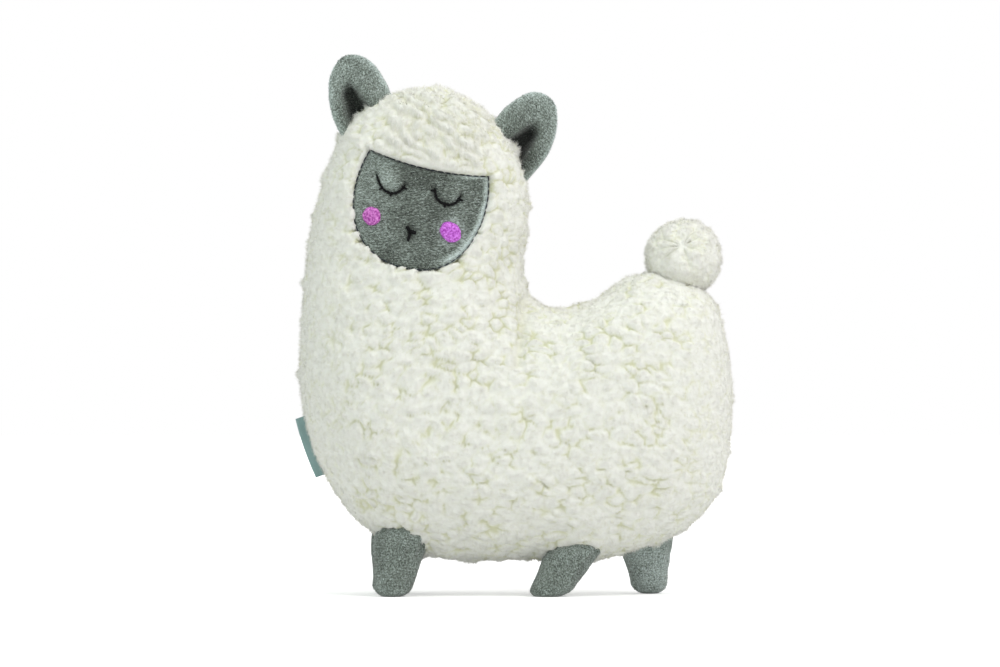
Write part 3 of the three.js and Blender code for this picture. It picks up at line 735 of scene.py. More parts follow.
def body_surface(station, angle):
    """Rings of the stuffed form. A section is a full oval: its middle, plus the reach to the outer edge
    times the swollen cosine, plus the half depth times the swollen sine. Angle 0 is the outer edge, and a
    quarter turn the middle of the back."""
    outer, inner = edges(station)
    reach = (outer - inner) / 2.0
    depth = reach[:, 1].copy()
    reach[:, 1] = 0.0
    rings = section_middles(station)[:, None] + reach[:, None] * swell(np.cos(angle))[None, :, None]
    rings[..., 1] += depth[:, None] * swell(np.sin(angle))[None, :]
    return rings


def even_stations(count):
    """Stations from the crown to the rump, spaced evenly along the mean of the two edges."""
    fine = np.linspace(0.0, LAST_STATION, 1500)
    steps = sum(np.linalg.norm(np.diff(edge, axis=0), axis=1) for edge in edges(fine))
    travelled = np.concatenate([[0.0], np.cumsum(steps)])
    return np.interp(np.linspace(0.0, travelled[-1], count), travelled, fine)


BULGE_ROWS = 46
BULGE_RING = 56
BULGE_FRAMES = 20
BULGE_LIMIT = 0.0016
BULGE_START = 0.0015


def stuffing_bulge(rows, ring):
    """How far the stuffing's pressure moves the skin, on rows of rings. A coarse copy of the form, drawn
    in a little, is blown up as cloth for a few frames. Each point's move is limited, and blended onto the
    finer rings by cubic weights."""
    station = even_stations(BULGE_ROWS)
    form = body_surface(station, whole_turn(BULGE_RING))
    start = form - BULGE_START * ring_normals(form, core_middles(station)[:, None])
    trial = ring_piece("stuffing_trial", start, [])
    cloth = trial.modifiers.new("stuffing", "CLOTH").settings
    cloth.quality = 6
    cloth.mass = 0.3
    cloth.tension_stiffness = 25.0
    cloth.compression_stiffness = 8.0
    cloth.shear_stiffness = 10.0
    cloth.bending_stiffness = 0.4
    cloth.use_pressure = True
    cloth.uniform_pressure_force = 4.0
    cloth.effector_weights.gravity = 0.0
    for step in range(1, BULGE_FRAMES + 1):
        bpy.context.scene.frame_set(step)
    blown = trial.evaluated_get(bpy.context.evaluated_depsgraph_get()).data
    points = np.empty(len(blown.vertices) * 3)
    blown.vertices.foreach_get("co", points)
    points = points.reshape(-1, 3)
    moved = np.empty_like(form)
    moved[1:-1] = points[:-2].reshape(BULGE_ROWS - 2, BULGE_RING, 3)
    moved[0] = points[-2]
    moved[-1] = points[-1]
    bpy.data.objects.remove(trial)
    bpy.context.scene.frame_set(1)
    move = moved - form
    size = np.linalg.norm(move, axis=-1, keepdims=True)
    move *= np.tanh(size / BULGE_LIMIT) * BULGE_LIMIT / np.maximum(size, 1e-9)
    finer = cubic_blend(move, np.linspace(0.0, BULGE_ROWS - 1.0, rows))
    joined = np.concatenate([finer[:, -2:], finer, finer[:, :3]], axis=1).swapaxes(0, 1)
    places = np.arange(ring) * BULGE_RING / ring + 2.0
    return cubic_blend(joined, places).swapaxes(0, 1)


body_station = even_stations(BODY_ROWS)
body_middle = core_middles(body_station)[:, None]
body_form = body_surface(body_station, whole_turn(BODY_RING)) + stuffing_bulge(BODY_ROWS, BODY_RING)
body_out = ring_normals(body_form, body_middle)
HALF_RING = BODY_RING // 2
BACK_COLUMNS = np.arange(0, HALF_RING + 1)
FRONT_COLUMNS = np.arange(HALF_RING, BODY_RING + 1) % BODY_RING


# Face outline

FACE_MIDDLE = head_at(0.007, 0.44)
FACE_RIGHT = np.array([math.cos(FACE_TILT), -math.sin(FACE_TILT)])
FACE_UP = np.array([math.sin(FACE_TILT), math.cos(FACE_TILT)])


def bezier(*corners):
    """A Bezier curve drawn from its corners: each pair of neighbours is blended by t until one point is
    left."""
    t = np.linspace(0.0, 1.0, 120)[:, None]
    points = [np.array(corner)[None] * np.ones_like(t) for corner in corners]
    while len(points) > 1:
        points = [a * (1.0 - t) + b * t for a, b in zip(points, points[1:])]
    return points[0]


def face_outline(count):
    """The face's edge, in the face's own right and up: two curved cheeks to the chin, and a sagging
    brow."""
    half = FACE_WIDTH / 2.0
    top = 0.46 * FACE_HEIGHT
    chin = -0.54 * FACE_HEIGHT
    left = bezier((-0.94 * half, top), (-1.20 * half, 0.10 * top), (-1.02 * half, chin), (0.0, chin))
    right = bezier((0.0, chin), (0.96 * half, chin), (1.19 * half, 0.14 * top), (0.98 * half, top))
    brow = bezier((0.98 * half, top), (0.0, top - 0.12 * FACE_HEIGHT), (-0.94 * half, top))
    return evenly(np.concatenate([left[:-1], right[:-1], brow[:-1]]), count, closed=True)


def face_place(points):
    """Right and up on the face of points in space, seen from the front."""
    flat = points[..., [0, 2]] - np.array(FACE_MIDDLE)
    return np.stack([flat @ FACE_RIGHT, flat @ FACE_UP], axis=-1)


def inside_face(points):
    """How far points lie inside the face's edge, along the line from its middle, and less than 0 outside
    it."""
    place = face_place(points)
    rim = face_outline(720)
    rim_angle = np.arctan2(rim[:, 1], rim[:, 0])
    order = np.argsort(rim_angle)
    rim_reach = np.linalg.norm(rim, axis=1)[order]
    angle = np.arctan2(place[..., 1], place[..., 0])
    reach = np.interp(angle, rim_angle[order], rim_reach, period=2.0 * np.pi)
    inside = reach - np.linalg.norm(place, axis=-1)
    return np.where(points[..., 1] < 0.0, inside, -1.0)


# Curly pile

CREASE = evenly(np.array([torso_at(0.028, 1.03), torso_at(0.02, 0.9), torso_at(0.008, 0.78)]), 40)
CREASE_DEPTH = 0.0035
CREASE_WIDTH = 0.0028
# Painted shade along the neck's crease: how dark, and how wide
CREASE_SHADE = 0.5
CREASE_SHADE_WIDTH = 0.002
CURL_STRETCH = np.array([0.78, 1.0, 1.25])
CURL_TRIES = 24000
CURL_DRIFT = 0.0026
CURL_DRIFT_SIZE = 0.011
CURL_WOBBLE = 0.0014
CURL_WOBBLE_SIZE = 0.0042
NEAR_CURLS = 6
# Shares of a curl's height: its dome, the knobs on it, slow swells, and the cut of its valleys
DOME_SHARE = 0.58
KNOB_SHARE = 0.20
SWELL_SHARE = 0.30
VALLEY_CUT = 0.36
SWELL_SIZE = 0.0080
VALLEY_PATCH = 0.0048
# How far the combing above the face takes the place of the curls
COMB_SHARE = 0.45
COMB_ROW = 0.0074
COMB_SLANT = 0.42
# Layers of noise, each as its amount, its size and its seed
COMB_BENDS = ((0.0048, 0.012, 15), (0.0010, 0.004, 16))
FLUFF = ((0.00030, 0.0019, 7), (0.00022, 0.0010, 8))
SLOW_LUMPS = (0.0012, 0.035, 9)
# How much flatter the curls get towards chest and rump, and how far off the middle that starts and ends
CALM_SHARE = 0.5
CALM_START = 0.070
CALM_FULL = 0.100
# Where the body is fuller, by how much and how widely: the rump's shoulder and the belly
FULLER_PLACES = ((torso_at(0.455, 1.02), 0.0026, 0.014), (torso_at(0.2, 0.01), 0.0022, 0.016))
# The lip of pile round the face: its height, how far outside the edge it is, and its width
FACE_LIP = 0.0005
FACE_LIP_OUTSIDE = 0.0030
FACE_LIP_WIDTH = 0.004
# How far the lower pile hangs over the face's edge, and how far its curls change that
OVERHANG = 0.0004
OVERHANG_CURLS = 0.0045
# Half the width over which the pile ends at the face's edge, and how deep it is pressed in under the face
FACE_EDGE = 0.0008
FACE_PRESSED = 0.0062
# The least height of the pile along the outline, the width of that strip, and the lumps added to it
SEAM_COVER = 0.0009
SEAM_COVER_WIDTH = 0.0045
OUTLINE_LUMPS = 0.0022
OUTLINE_LUMP_SIZE = 0.0065


def path_distance(places, path):
    """Distance from each place to the nearest point of a path."""
    return np.sqrt(np.min(np.sum((places[..., None, :] - path) ** 2, axis=-1), axis=-1))


def curl_middles(form, seed):
    """Middles of the curls on a surface, in stretched places: one of many random points for each cube of
    the curls' size, moved to the mean of the points that have it as their nearest middle, so that no two
    curls crowd each other."""
    points = form.reshape(-1, 3) * CURL_STRETCH
    points = points[np.random.default_rng(seed).permutation(len(points))[:CURL_TRIES]]
    _, first = np.unique(np.floor(points / CURL_SIZE).astype(int), axis=0, return_index=True)
    middles = points[np.sort(first)]
    owner = np.argmin(gap_squares(points, middles), axis=1)
    share = np.bincount(owner, minlength=len(middles))
    return np.stack([np.bincount(owner, points[:, axis]) for axis in range(3)], axis=-1) / share[:, None]


def curls(points, middles):
    """The height of the curls, and how deep in a valley each point is, from 0 to 1. A curl is a dome round
    its middle: 1 less the square of the soft distance, in which the nearest few middles share. A valley
    follows the lines where two middles are equally near, as a bell curve of the lead of one over the
    other. It is strong in some places and faint in others, and deepest where three curls meet. Small knobs
    roughen the curls, and noise bends them all."""
    drift = vector_cloud(points, CURL_DRIFT_SIZE, 1) * CURL_DRIFT
    drift = drift + vector_cloud(points, CURL_WOBBLE_SIZE, 61) * CURL_WOBBLE
    place = (points + drift) * CURL_STRETCH
    gaps = nearest_gaps(place, middles, NEAR_CURLS)
    lead = gaps[..., 1] - gaps[..., 0]
    corner = gaps[..., 2] - gaps[..., 0]
    soft = -np.log(np.sum(np.exp(-SOFTNESS * gaps / CURL_SIZE), axis=-1)) / SOFTNESS
    dome = 1.0 - np.maximum(soft + 0.1, 0.0) ** 2
    strength = 0.16 + 0.84 * smooth_step(-0.25, 0.55, cloud(points, VALLEY_PATCH, 5))
    crease = 0.75 * bump(lead, CURL_VALLEY) + 0.25 * bump(lead, 2.6 * CURL_VALLEY)
    valley = strength * (crease + 0.45 * bump(corner, 1.6 * CURL_VALLEY))
    knob = 1.0 - knob_distance(place, 0.5 * CURL_SIZE, 31) ** 2
    swells = SWELL_SHARE * cloud(place, SWELL_SIZE, 6)
    height = DOME_SHARE * dome + KNOB_SHARE * knob + swells - VALLEY_CUT * valley
    return height, np.clip(valley, 0.0, 1.0)


def combed(points):
    """How far the pile is combed down rather than curled, from 0 to 1: fully between the face and the
    crown."""
    place = face_place(points)
    above = smooth_step(0.40 * FACE_HEIGHT, 0.56 * FACE_HEIGHT, place[..., 1])
    between = 1.0 - smooth_step(0.30 * FACE_WIDTH, 0.48 * FACE_WIDTH, np.abs(place[..., 0]))
    return above * between * smooth_step(0.0, -0.012, points[..., 1])


def combed_rows(points):
    """Rows of combed pile, one below another, as a wave up the face from 0 to 1. The rows slant down to
    the right of the face, and noise bends them."""
    place = face_place(points)
    across = place[..., 1] + COMB_SLANT * place[..., 0] + clouds(points, *COMB_BENDS)
    return 0.5 + 0.5 * np.sin(2.0 * np.pi * across / COMB_ROW)


def pile_relief(points):
    """How far the curly pile stands out of the body's form at each point, and its valley number. Curls and
    fluff stand out, less so towards the chest's and the rump's edges. The rump's shoulder and the belly
    before the rear legs are fuller. The neck's crease is drawn in. The pile rises in a lip round the face,
    and is pressed in under it. Along the outline it always covers the seam's thread, in soft lumps."""
    height, valley = curls(points, BODY_CURLS)
    height = height - height.mean()
    calm = CALM_SHARE * smooth_step(CALM_START, CALM_FULL, np.abs(points[..., 0]))
    height = height * (1.0 - calm)
    valley = valley * (1.0 - calm)
    comb = COMB_SHARE * combed(points)
    rows = combed_rows(points)
    height = height + comb * (1.3 * rows - 0.65 - height)
    # Painted shade between the combed rows
    valley = valley * (1.0 - comb) + comb * (1.0 - rows) ** 3
    fluff = clouds(points, *FLUFF)
    uneven = clouds(points, SLOW_LUMPS)
    for middle, amount, width in FULLER_PLACES:
        uneven += amount * bump(np.linalg.norm(points[..., [0, 2]] - np.array(middle), axis=-1), width)
    crease = path_distance(points[..., [0, 2]], CREASE)
    pulled = -CREASE_DEPTH * bump(crease, CREASE_WIDTH) * smooth_step(0.0, 0.012, np.abs(points[..., 1]))
    inside = inside_face(points)
    lip = FACE_LIP * bump(inside + FACE_LIP_OUTSIDE, FACE_LIP_WIDTH)
    low = smooth_step(0.016, -0.010, face_place(points)[..., 1])
    overhang = low * (OVERHANG + OVERHANG_CURLS * height)
    under = smooth_step(-FACE_EDGE, FACE_EDGE, inside - overhang)
    relief = CURL_HEIGHT * height + fluff + uneven + pulled + lip
    cover = SEAM_COVER + OUTLINE_LUMPS * np.maximum(cloud(points, OUTLINE_LUMP_SIZE, 17), 0.0)
    relief += bump(points[..., 1], SEAM_COVER_WIDTH) * np.maximum(cover - relief, 0.0)
    relief = relief * (1.0 - under) - FACE_PRESSED * under
    # The valley number carries painted shade in the valleys, between the combed rows and along the neck's
    # crease
    return relief, np.maximum(valley, CREASE_SHADE * bump(crease, CREASE_SHADE_WIDTH))


BODY_CURLS = curl_middles(body_form, 71)
body_relief, body_valley = pile_relief(body_form)
body_skin = body_form + body_out * body_relief[..., None]
close_ends(body_skin)
skin_out = ring_normals(body_skin, body_middle)


def skin_half(name, columns):
    """One half of the body's cover: the outer skin, and an inner skin drawn towards the sections' middles,
    joined along the outline."""
    outer = body_skin[:, columns]
    within = columns[::-INNER_STEP]
    inner = body_middle + SKIN_SCALE * (body_form[:, within] - body_middle)
    rings = np.concatenate([outer, inner], axis=1)
    numbers = np.concatenate([body_valley[:, columns], np.zeros(inner.shape[:2])], axis=1)
    piece = ring_piece(name, rings, [WOOL_SKIN], valley=numbers)
    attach(piece, "body")
    return piece


def wool_pile(name, grid, out, form, form_out, middles, count, rng, weight):
    """Fibres of the curly pile over a grid. They lean up their curl, in tufts a few millimetres across,
    and turn over at the tip, so the curls get a soft edge. Those in a valley are shorter, and tinted
    warmer and darker as painted shade."""
    row, column = spread_places(grid, count, rng, weight)
    roots = sample(grid, row, column)
    normals = unit(sample(out, row, column))
    uphill = sample(form_out, row, column) - normals
    _, valley = curls(sample(form, row, column), middles)
    swirl = vector_cloud(roots, TUFT_SIZE, 21)
    comb = combed(roots)
    lie = TUFT_LIE * swirl + SLOPE_LIE * uphill + CHANCE_LIE * rng.normal(size=roots.shape)
    lie[:, 2] -= COMB_LIE * comb
    edge = bump(roots[:, 1], OUTLINE_WIDTH)
    length = PILE_LENGTH * rng.uniform(*PILE_LENGTHS, count)
    length = length * (1.0 - 0.5 * valley) * (1.0 + 0.6 * comb + 0.5 * edge)
    width = PILE_WIDTH * rng.uniform(*PILE_WIDTHS, count)
    lean = (rng.uniform(*PILE_RISE, count), rng.uniform(*PILE_TURN, count))
    mottle = cloud(roots * CURL_STRETCH, MOTTLE_SIZE, 23)
    # Cream in blotches, warm as painted shade in valleys and as the wool's own tone in the strongest
    # blotches, deep as painted shade in the deepest valleys
    tint = (rng.random(count) < 0.35 + 0.9 * mottle).astype(int)
    tint = np.where(rng.random(count) < 1.1 * valley + 0.5 * np.maximum(mottle - 0.25, 0.0), 2, tint)
    tint = np.where(rng.random(count) < valley - 0.35, 3, tint)
    sunk = roots - PILE_SINK * normals
    piece = fibres(name, sunk, normals, lie, length, width, lean, WOOL_FIBRES, tint)
    return piece


def body_pile(name, columns, parts, seed):
    """The pile of one half of the body, in parts of equal area from the crown to the rump."""
    rng = np.random.default_rng(seed)
    grid, out, form, form_out = (array[:, columns] for array in (body_skin, skin_out, body_form, body_out))
    weight = (inside_face(form) < FACE_EDGE).astype(float)
    band = cell_areas(grid, weight).sum(axis=1)
    share = np.concatenate([[0.0], np.cumsum(band) / band.sum()])
    count = FIBRES_EACH
    for part in range(parts):
        start = int(np.searchsorted(share, part / parts))
        end = int(np.searchsorted(share, (part + 1) / parts)) + 1
        rows = slice(start, min(end, len(grid)))
        layers = (array[rows] for array in (grid, out, form, form_out))
        piece = wool_pile(f"{name}_{part + 1}", *layers, BODY_CURLS, count, rng, weight[rows])
        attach(piece, "body")


front_skin = skin_half("front_cover_skin", FRONT_COLUMNS)
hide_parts("front_cover")
back_skin = skin_half("back_cover_skin", BACK_COLUMNS)
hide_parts("back_cover")
body_pile("front_pile", FRONT_COLUMNS, FRONT_PILE_PARTS, 101)
body_pile("back_pile", BACK_COLUMNS, BACK_PILE_PARTS, 102)


# Face

front_form = body_form[:, FRONT_COLUMNS]
front_out = body_out[:, FRONT_COLUMNS]
# Places on the face, as right and up from its middle, with the sizes and heights of what is there
LEFT_EYE = np.array([
    (-0.0248, 0.0137),
    (-0.0218, 0.0092),
    (-0.0187, 0.0064),
    (-0.0141, 0.0058),
    (-0.0106, 0.0080),
    (-0.0088, 0.0116),
])
RIGHT_EYE = np.array([
    (0.0060, 0.0130),
    (0.0082, 0.0083),
    (0.0115, 0.0064),
    (0.0154, 0.0064),
    (0.0184, 0.0082),
    (0.0202, 0.0122),
])
LEFT_LID = (-0.0165, 0.0115)
RIGHT_LID = (0.0138, 0.0122)
LID_SIZE = 0.0052
LEFT_LID_PUFF = 0.0020
RIGHT_LID_PUFF = 0.0014
EYE_PULL = 0.0017
EYE_PULL_WIDTH = 0.0016
MUZZLE = (-0.0015, -0.0125)
MUZZLE_SIZE = 0.010
MUZZLE_PUFF = 0.0014
LEFT_CHEEK = (-0.0220, -0.0076)
RIGHT_CHEEK = (0.0187, -0.0067)
LEFT_CHEEK_REACH = (0.0047, 0.0045)
RIGHT_CHEEK_REACH = (0.0058, 0.0047)
CHEEK_TILT = math.radians(-26.0)
CHEEK_HEIGHT = 0.0022
CHEEK_RINGS = 26
CHEEK_SIDES = 84
CHEEK_LIFT = 0.0003
CHEEK_SINK = 0.0008
# The depth and the width of a cheek's threads, and of the broader bands that they form
THREAD_DEPTH = 0.00014
THREAD_WIDTH = 0.0007
BAND_DEPTH = 0.0001
BAND_WIDTH = 0.0019
NOSE = (-0.0013, -0.0107)
NOSE_SIZE = 0.0034
NOSE_PULL = 0.0022
MOUTH_END = (-0.0012, -0.0160)
LINE_SIDES = 10
RIDGE_SHARE = 0.22
# Edge stitches: how far in they run, how deep they lie, and the part of its pitch that each one spans
EDGE_INSET = 0.985
EDGE_SINK = 0.0002
STITCH_SPAN = (0.06, 0.94)
STITCH_PITCH = 0.0036
STITCH_RADIUS = 0.00029
STITCH_ROWS = 14
STITCH_SIDES = 6


def arc(points, count):
    """A smooth open curve through a few points, by Catmull-Rom weights."""
    return evenly(cubic_blend(points, np.linspace(0.0, len(points) - 1.0, 80)), count)


LEFT_LINE = arc(LEFT_EYE, 60)
RIGHT_LINE = arc(RIGHT_EYE, 60)


def find_on_front(x, z):
    """The row and column of the front form that lie behind points seen from the front, by Newton's method:
    the gap in X and Z is divided by the form's steps along rows and columns."""
    near = np.sum((front_form[..., [0, 2]] - np.array(FACE_MIDDLE)) ** 2, axis=-1)
    first = np.unravel_index(np.argmin(near), near.shape)
    row = np.full(x.shape, float(first[0]))
    column = np.full(x.shape, float(first[1]))
    for _ in range(14):
        here = sample(front_form, row, column)
        down = sample(front_form, row + 0.5, column) - sample(front_form, row - 0.5, column)
        side = sample(front_form, row, column + 0.5) - sample(front_form, row, column - 0.5)
        gap_x = x - here[..., 0]
        gap_z = z - here[..., 2]
        area = down[..., 0] * side[..., 2] - down[..., 2] * side[..., 0]
        row = row + (gap_x * side[..., 2] - gap_z * side[..., 0]) / area
        column = column + (down[..., 0] * gap_z - down[..., 2] * gap_x) / area
        row = np.clip(row, 1.0, len(front_form) - 2.0)
        column = np.clip(column, 1.0, front_form.shape[1] - 2.0)
    return row, column


def oval_bump(place, middle, stretch, width):
    """A bell curve round a middle on the face, stretched along right and up."""
    return bump(np.linalg.norm((place - np.array(middle)) / np.array(stretch), axis=-1), width)


def face_relief(place):
    """How far the face stands out at a place on it: bell curves puff it out over the lids and at the
    muzzle, and others pull it in along the eyes and at the nose."""
    left = LEFT_LID_PUFF * oval_bump(place, LEFT_LID, (1.3, 1.0), LID_SIZE)
    right = RIGHT_LID_PUFF * oval_bump(place, RIGHT_LID, (1.3, 1.0), LID_SIZE)
    eyes = sum(bump(path_distance(place, line), EYE_PULL_WIDTH) for line in (LEFT_LINE, RIGHT_LINE))
    nose = NOSE_PULL * oval_bump(place, NOSE, (1.0, 1.5), NOSE_SIZE)
    muzzle = MUZZLE_PUFF * oval_bump(place, MUZZLE, (1.5, 1.0), MUZZLE_SIZE)
    return left + right - EYE_PULL * eyes - nose + muzzle


def on_face(place, lift):
    """Points on the face's surface at places on it, raised by lift, and the directions out of it."""
    x = FACE_MIDDLE[0] + place[..., 0] * FACE_RIGHT[0] + place[..., 1] * FACE_UP[0]
    z = FACE_MIDDLE[1] + place[..., 0] * FACE_RIGHT[1] + place[..., 1] * FACE_UP[1]
    row, column = find_on_front(x, z)
    out = unit(sample(front_out, row, column))
    height = face_relief(place) + lift - FACE_SINK
    return sample(front_form, row, column) + out * height[..., None], out


FACE_RINGS = 70
FACE_SIDES = 240
FACE_ROLL = 0.0012
# How pale the face is, the painted sheen of the turned edge and the left and right side, and the cheek's
# halo
FACE_PALE = 0.32
TURNED_PAINTED_SHEEN = 0.75
LEFT_PAINTED_SHEEN = 0.24
RIGHT_PAINTED_SHEEN = 0.06
HALO_PALE = 0.22
HALO_WIDTH = 0.0024
# Painted highlight and shade: how much paler the velour is for each metre that it stands out
RELIEF_PAINTED_LIGHT = 75.0
# How far the nap stays off the middles of the eyes' lines and of the nose
LINE_CLEAR = 0.0008
NOSE_CLEAR = 0.0012


def face_tone_and_light(place, points):
    """How pale the face's velour is, from 0 to 1: its own tone, with painted sheen that is palest along the
    right edge, where the panel turns in, and paler on the left side, a painted highlight on the lids and the
    muzzle and painted shade along the eyes and at the nose, as the relief goes, and paler round the right
    cheek."""
    inside = inside_face(points)
    right = smooth_step(0.010, 0.026, place[..., 0])
    # Painted sheen along the turned right edge
    turned = TURNED_PAINTED_SHEEN * right * (1.0 - smooth_step(0.0016, 0.0058, inside))
    # Painted sheen on the left and right side
    side = LEFT_PAINTED_SHEEN * smooth_step(-0.006, -0.026, place[..., 0]) + RIGHT_PAINTED_SHEEN * right
    outside = np.linalg.norm(place - np.array(RIGHT_CHEEK), axis=-1) - RIGHT_CHEEK_REACH[0]
    halo = HALO_PALE * bump(outside, HALO_WIDTH)
    # Painted highlight where the face stands out, painted shade where it is drawn in
    raised = RELIEF_PAINTED_LIGHT * face_relief(place)
    return FACE_PALE + turned + side + halo + raised + clouds(points, (0.10, 0.009, 52))


def face_panel():
    """The face: rings from its middle to its edge on the front, rolled over at the edge, and back to the
    middle behind."""
    rim = face_outline(FACE_SIDES)
    share = np.linspace(0.0, 1.0, FACE_RINGS)
    place = share[:, None, None] * rim[None]
    edge_drop = -FACE_ROLL * smooth_step(0.93, 1.0, share)[:, None] * np.ones(FACE_SIDES)
    front, out = on_face(place, edge_drop)
    steps = np.array([1.0, 0.8, 0.4, 0.0])
    behind = np.full((len(steps), FACE_SIDES), -FACE_THICKNESS - FACE_ROLL)
    back, _ = on_face(steps[:, None, None] * rim[None], behind)
    brushed = face_tone_and_light(place, front)
    numbers = np.concatenate([brushed, np.zeros(back.shape[:2])])
    piece = ring_piece("face_velour", np.concatenate([front, back]), [FACE_VELOUR], brushed=numbers)
    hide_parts("face_panel")
    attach(piece, "body")
    return place, front, out, brushed


def velour_nap(name, grid, out, brushed, lie, grain, rng, weight):
    """Velour fibres over a grid, lying mostly one way. A grid of numbers from 0 to 1 tells how pale the
    velour
    is at each point: its own tone with painted light and painted shade. Noise mottles it in fine grains
    that grain stretches along the axes, and a sine along the lie sets it in rows."""
    density = NAP_DENSITY
    count = int(np.sum(cell_areas(grid, weight)) * density)
    row, column = spread_places(grid, count, rng, weight)
    roots = sample(grid, row, column)
    normals = unit(sample(out, row, column))
    grains = GRAIN_SHADE * cloud(roots / np.array(grain), NAP_GRAIN, 42)
    mottle = clouds(roots, (0.10, 0.0026, 41)) + grains
    along = roots @ unit(lie) + clouds(roots, (0.0005, 0.004, 43))
    rows = ROW_SHADE * np.sin(2.0 * np.pi * along / NAP_ROW)
    # How pale the velour is here: its own tone with painted light and painted shade
    pale = sample(brushed[..., None], row, column)[:, 0]
    shade = pale + mottle + rows + CHANCE_SHADE * rng.normal(size=count)
    tint = np.clip(np.floor(shade * TINT_STEPS), 0, len(VELOUR_FIBRES) - 1)
    direction = lie + 0.5 * rng.normal(size=roots.shape)
    length = NAP_LENGTH * rng.uniform(*NAP_LENGTHS, count)
    width = NAP_WIDTH * rng.uniform(*NAP_WIDTHS, count)
    lean = (rng.uniform(*NAP_RISE, count), rng.uniform(*NAP_TURN, count))
    sunk = roots - NAP_SINK * normals
    piece = fibres(name, sunk, normals, direction, length, width, lean, VELOUR_FIBRES, tint)
    return piece


def face_nap(place, front, out, brushed):
    """The face's nap, combed down in fine short rows, and kept off the embroidery."""
    clear = np.ones(place.shape[:2])
    for centre, reach in ((LEFT_CHEEK, LEFT_CHEEK_REACH), (RIGHT_CHEEK, RIGHT_CHEEK_REACH)):
        clear *= np.linalg.norm(place - np.array(centre), axis=-1) > 0.96 * reach[1]
    for line in (LEFT_LINE, RIGHT_LINE):
        clear *= path_distance(place, line) > LINE_CLEAR
    clear *= path_distance(place, np.array([NOSE, MOUTH_END])) > NOSE_CLEAR
    front, out, brushed, clear = wrapped(front, out, brushed, clear)
    lie = np.array([0.1, 0.0, -1.0])
    rng = np.random.default_rng(201)
    piece = velour_nap("face_nap", front, out, brushed, lie, FACE_GRAIN, rng, clear)
    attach(piece, "body")


def stitch_line(name, place, radius, lift, ridge, node=None):
    """A satin-stitched line along a path on the face: a round profile, thin at both ends, with a ridge for
    each thread laid across it."""
    path, out = on_face(place, np.full(len(place), lift))
    travelled = distance_along(path)
    share = travelled / travelled[-1]
    taper = np.sqrt(np.clip(1.0 - np.abs(2.0 * share - 1.0) ** 6, 0.0, 1.0))
    ridges = 1.0 + RIDGE_SHARE * np.cos(2.0 * np.pi * travelled / ridge)
    rings = carried_profile(path, LINE_SIDES, out, radius * taper * ridges)
    piece = ring_piece(name, rings, [BLACK_THREAD])
    if node:
        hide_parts(node)
    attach(piece, "body")


def lashes(name, line, shares, lengths):
    """Short straight lash stitches that hang from an eye's line, at shares of its length, and spread
    apart towards its ends."""
    for index, (share, length) in enumerate(zip(shares, lengths)):
        at = int(share * (len(line) - 1))
        ahead = unit(line[min(at + 1, len(line) - 1)] - line[max(at - 1, 0)])
        below = np.array([ahead[1], -ahead[0]])
        steps = np.linspace(-0.4, 1.0, 14)[:, None]
        path = line[at] + steps * length * (below + 0.4 * (share - 0.5) * ahead)
        stitch_line(f"{name}_{index + 1}", path, radius=0.00050, lift=0.0005, ridge=0.0008)


def cheek(name, centre, reach, material):
    """An oval of satin stitch, as long and as wide as its reach: a dome whose height is the square root of
    one less the share of the way out to the power of three, ridged across by its threads."""
    share = np.linspace(0.0, 1.0, CHEEK_RINGS)
    angle = whole_turn(CHEEK_SIDES)
    long_way = np.array([math.cos(CHEEK_TILT), math.sin(CHEEK_TILT)])
    wide_way = np.array([-long_way[1], long_way[0]])
    wobble = 1.0 + 0.02 * np.sin(5.0 * angle + 1.0) + 0.012 * np.sin(9.0 * angle)
    around = reach[0] * np.cos(angle)[:, None] * long_way + reach[1] * np.sin(angle)[:, None] * wide_way
    around = around * wobble[:, None]
    place = np.array(centre) + share[:, None, None] * around[None]
    slant = place @ np.array([0.86, 0.5])
    threads = THREAD_DEPTH * np.cos(2.0 * np.pi * slant / THREAD_WIDTH)
    threads = threads + BAND_DEPTH * np.sin(2.0 * np.pi * slant / BAND_WIDTH)
    dome = np.sqrt(np.clip(1.0 - share ** 3, 0.0, 1.0))[:, None]
    front, _ = on_face(place, (CHEEK_HEIGHT + threads) * dome + CHEEK_LIFT)
    steps = np.array([1.0, 0.5, 0.0])
    behind = np.full((len(steps), CHEEK_SIDES), -CHEEK_SINK)
    back, _ = on_face(np.array(centre) + steps[:, None, None] * around[None], behind)
    piece = ring_piece(name, np.concatenate([front, back]), [material])
    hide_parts(name)
    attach(piece, "body")


def edge_stitches():
    """Dark stitches round the face's edge: short dashes that follow it, with gaps, as a round profile
    whose radius is a power of a half wave of the sine, so that it is thicker in the middle."""
    rim = face_outline(1200) * EDGE_INSET
    length = np.linalg.norm(np.diff(rim, axis=0, append=rim[:1]), axis=1).sum()
    count = int(length / STITCH_PITCH)
    along = (np.arange(count)[:, None] + np.linspace(*STITCH_SPAN, STITCH_ROWS)[None]) / count
    place = rim[np.floor(along * len(rim)).astype(int) % len(rim)]
    path, out = on_face(place, np.full(place.shape[:2], -EDGE_SINK))
    taper = np.sin(np.pi * np.linspace(0.0, 1.0, STITCH_ROWS)) ** 0.35
    points = []
    faces = []
    for stitch in range(count):
        rings = carried_profile(path[stitch], STITCH_SIDES, out[stitch], STITCH_RADIUS * taper)
        start = sum(len(group) for group in points)
        points.append(with_poles(rings))
        faces.append([group + start for group in ring_faces(STITCH_ROWS - 2, STITCH_SIDES)])
    groups = [np.concatenate([pair[index] for pair in faces]) for index in range(2)]
    points = np.concatenate(points)
    piece = mesh_piece("face_edge_stitches", points, turned_outwards(points, groups), [EDGE_THREAD])
    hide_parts("face_edge_stitch")
    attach(piece, "body")


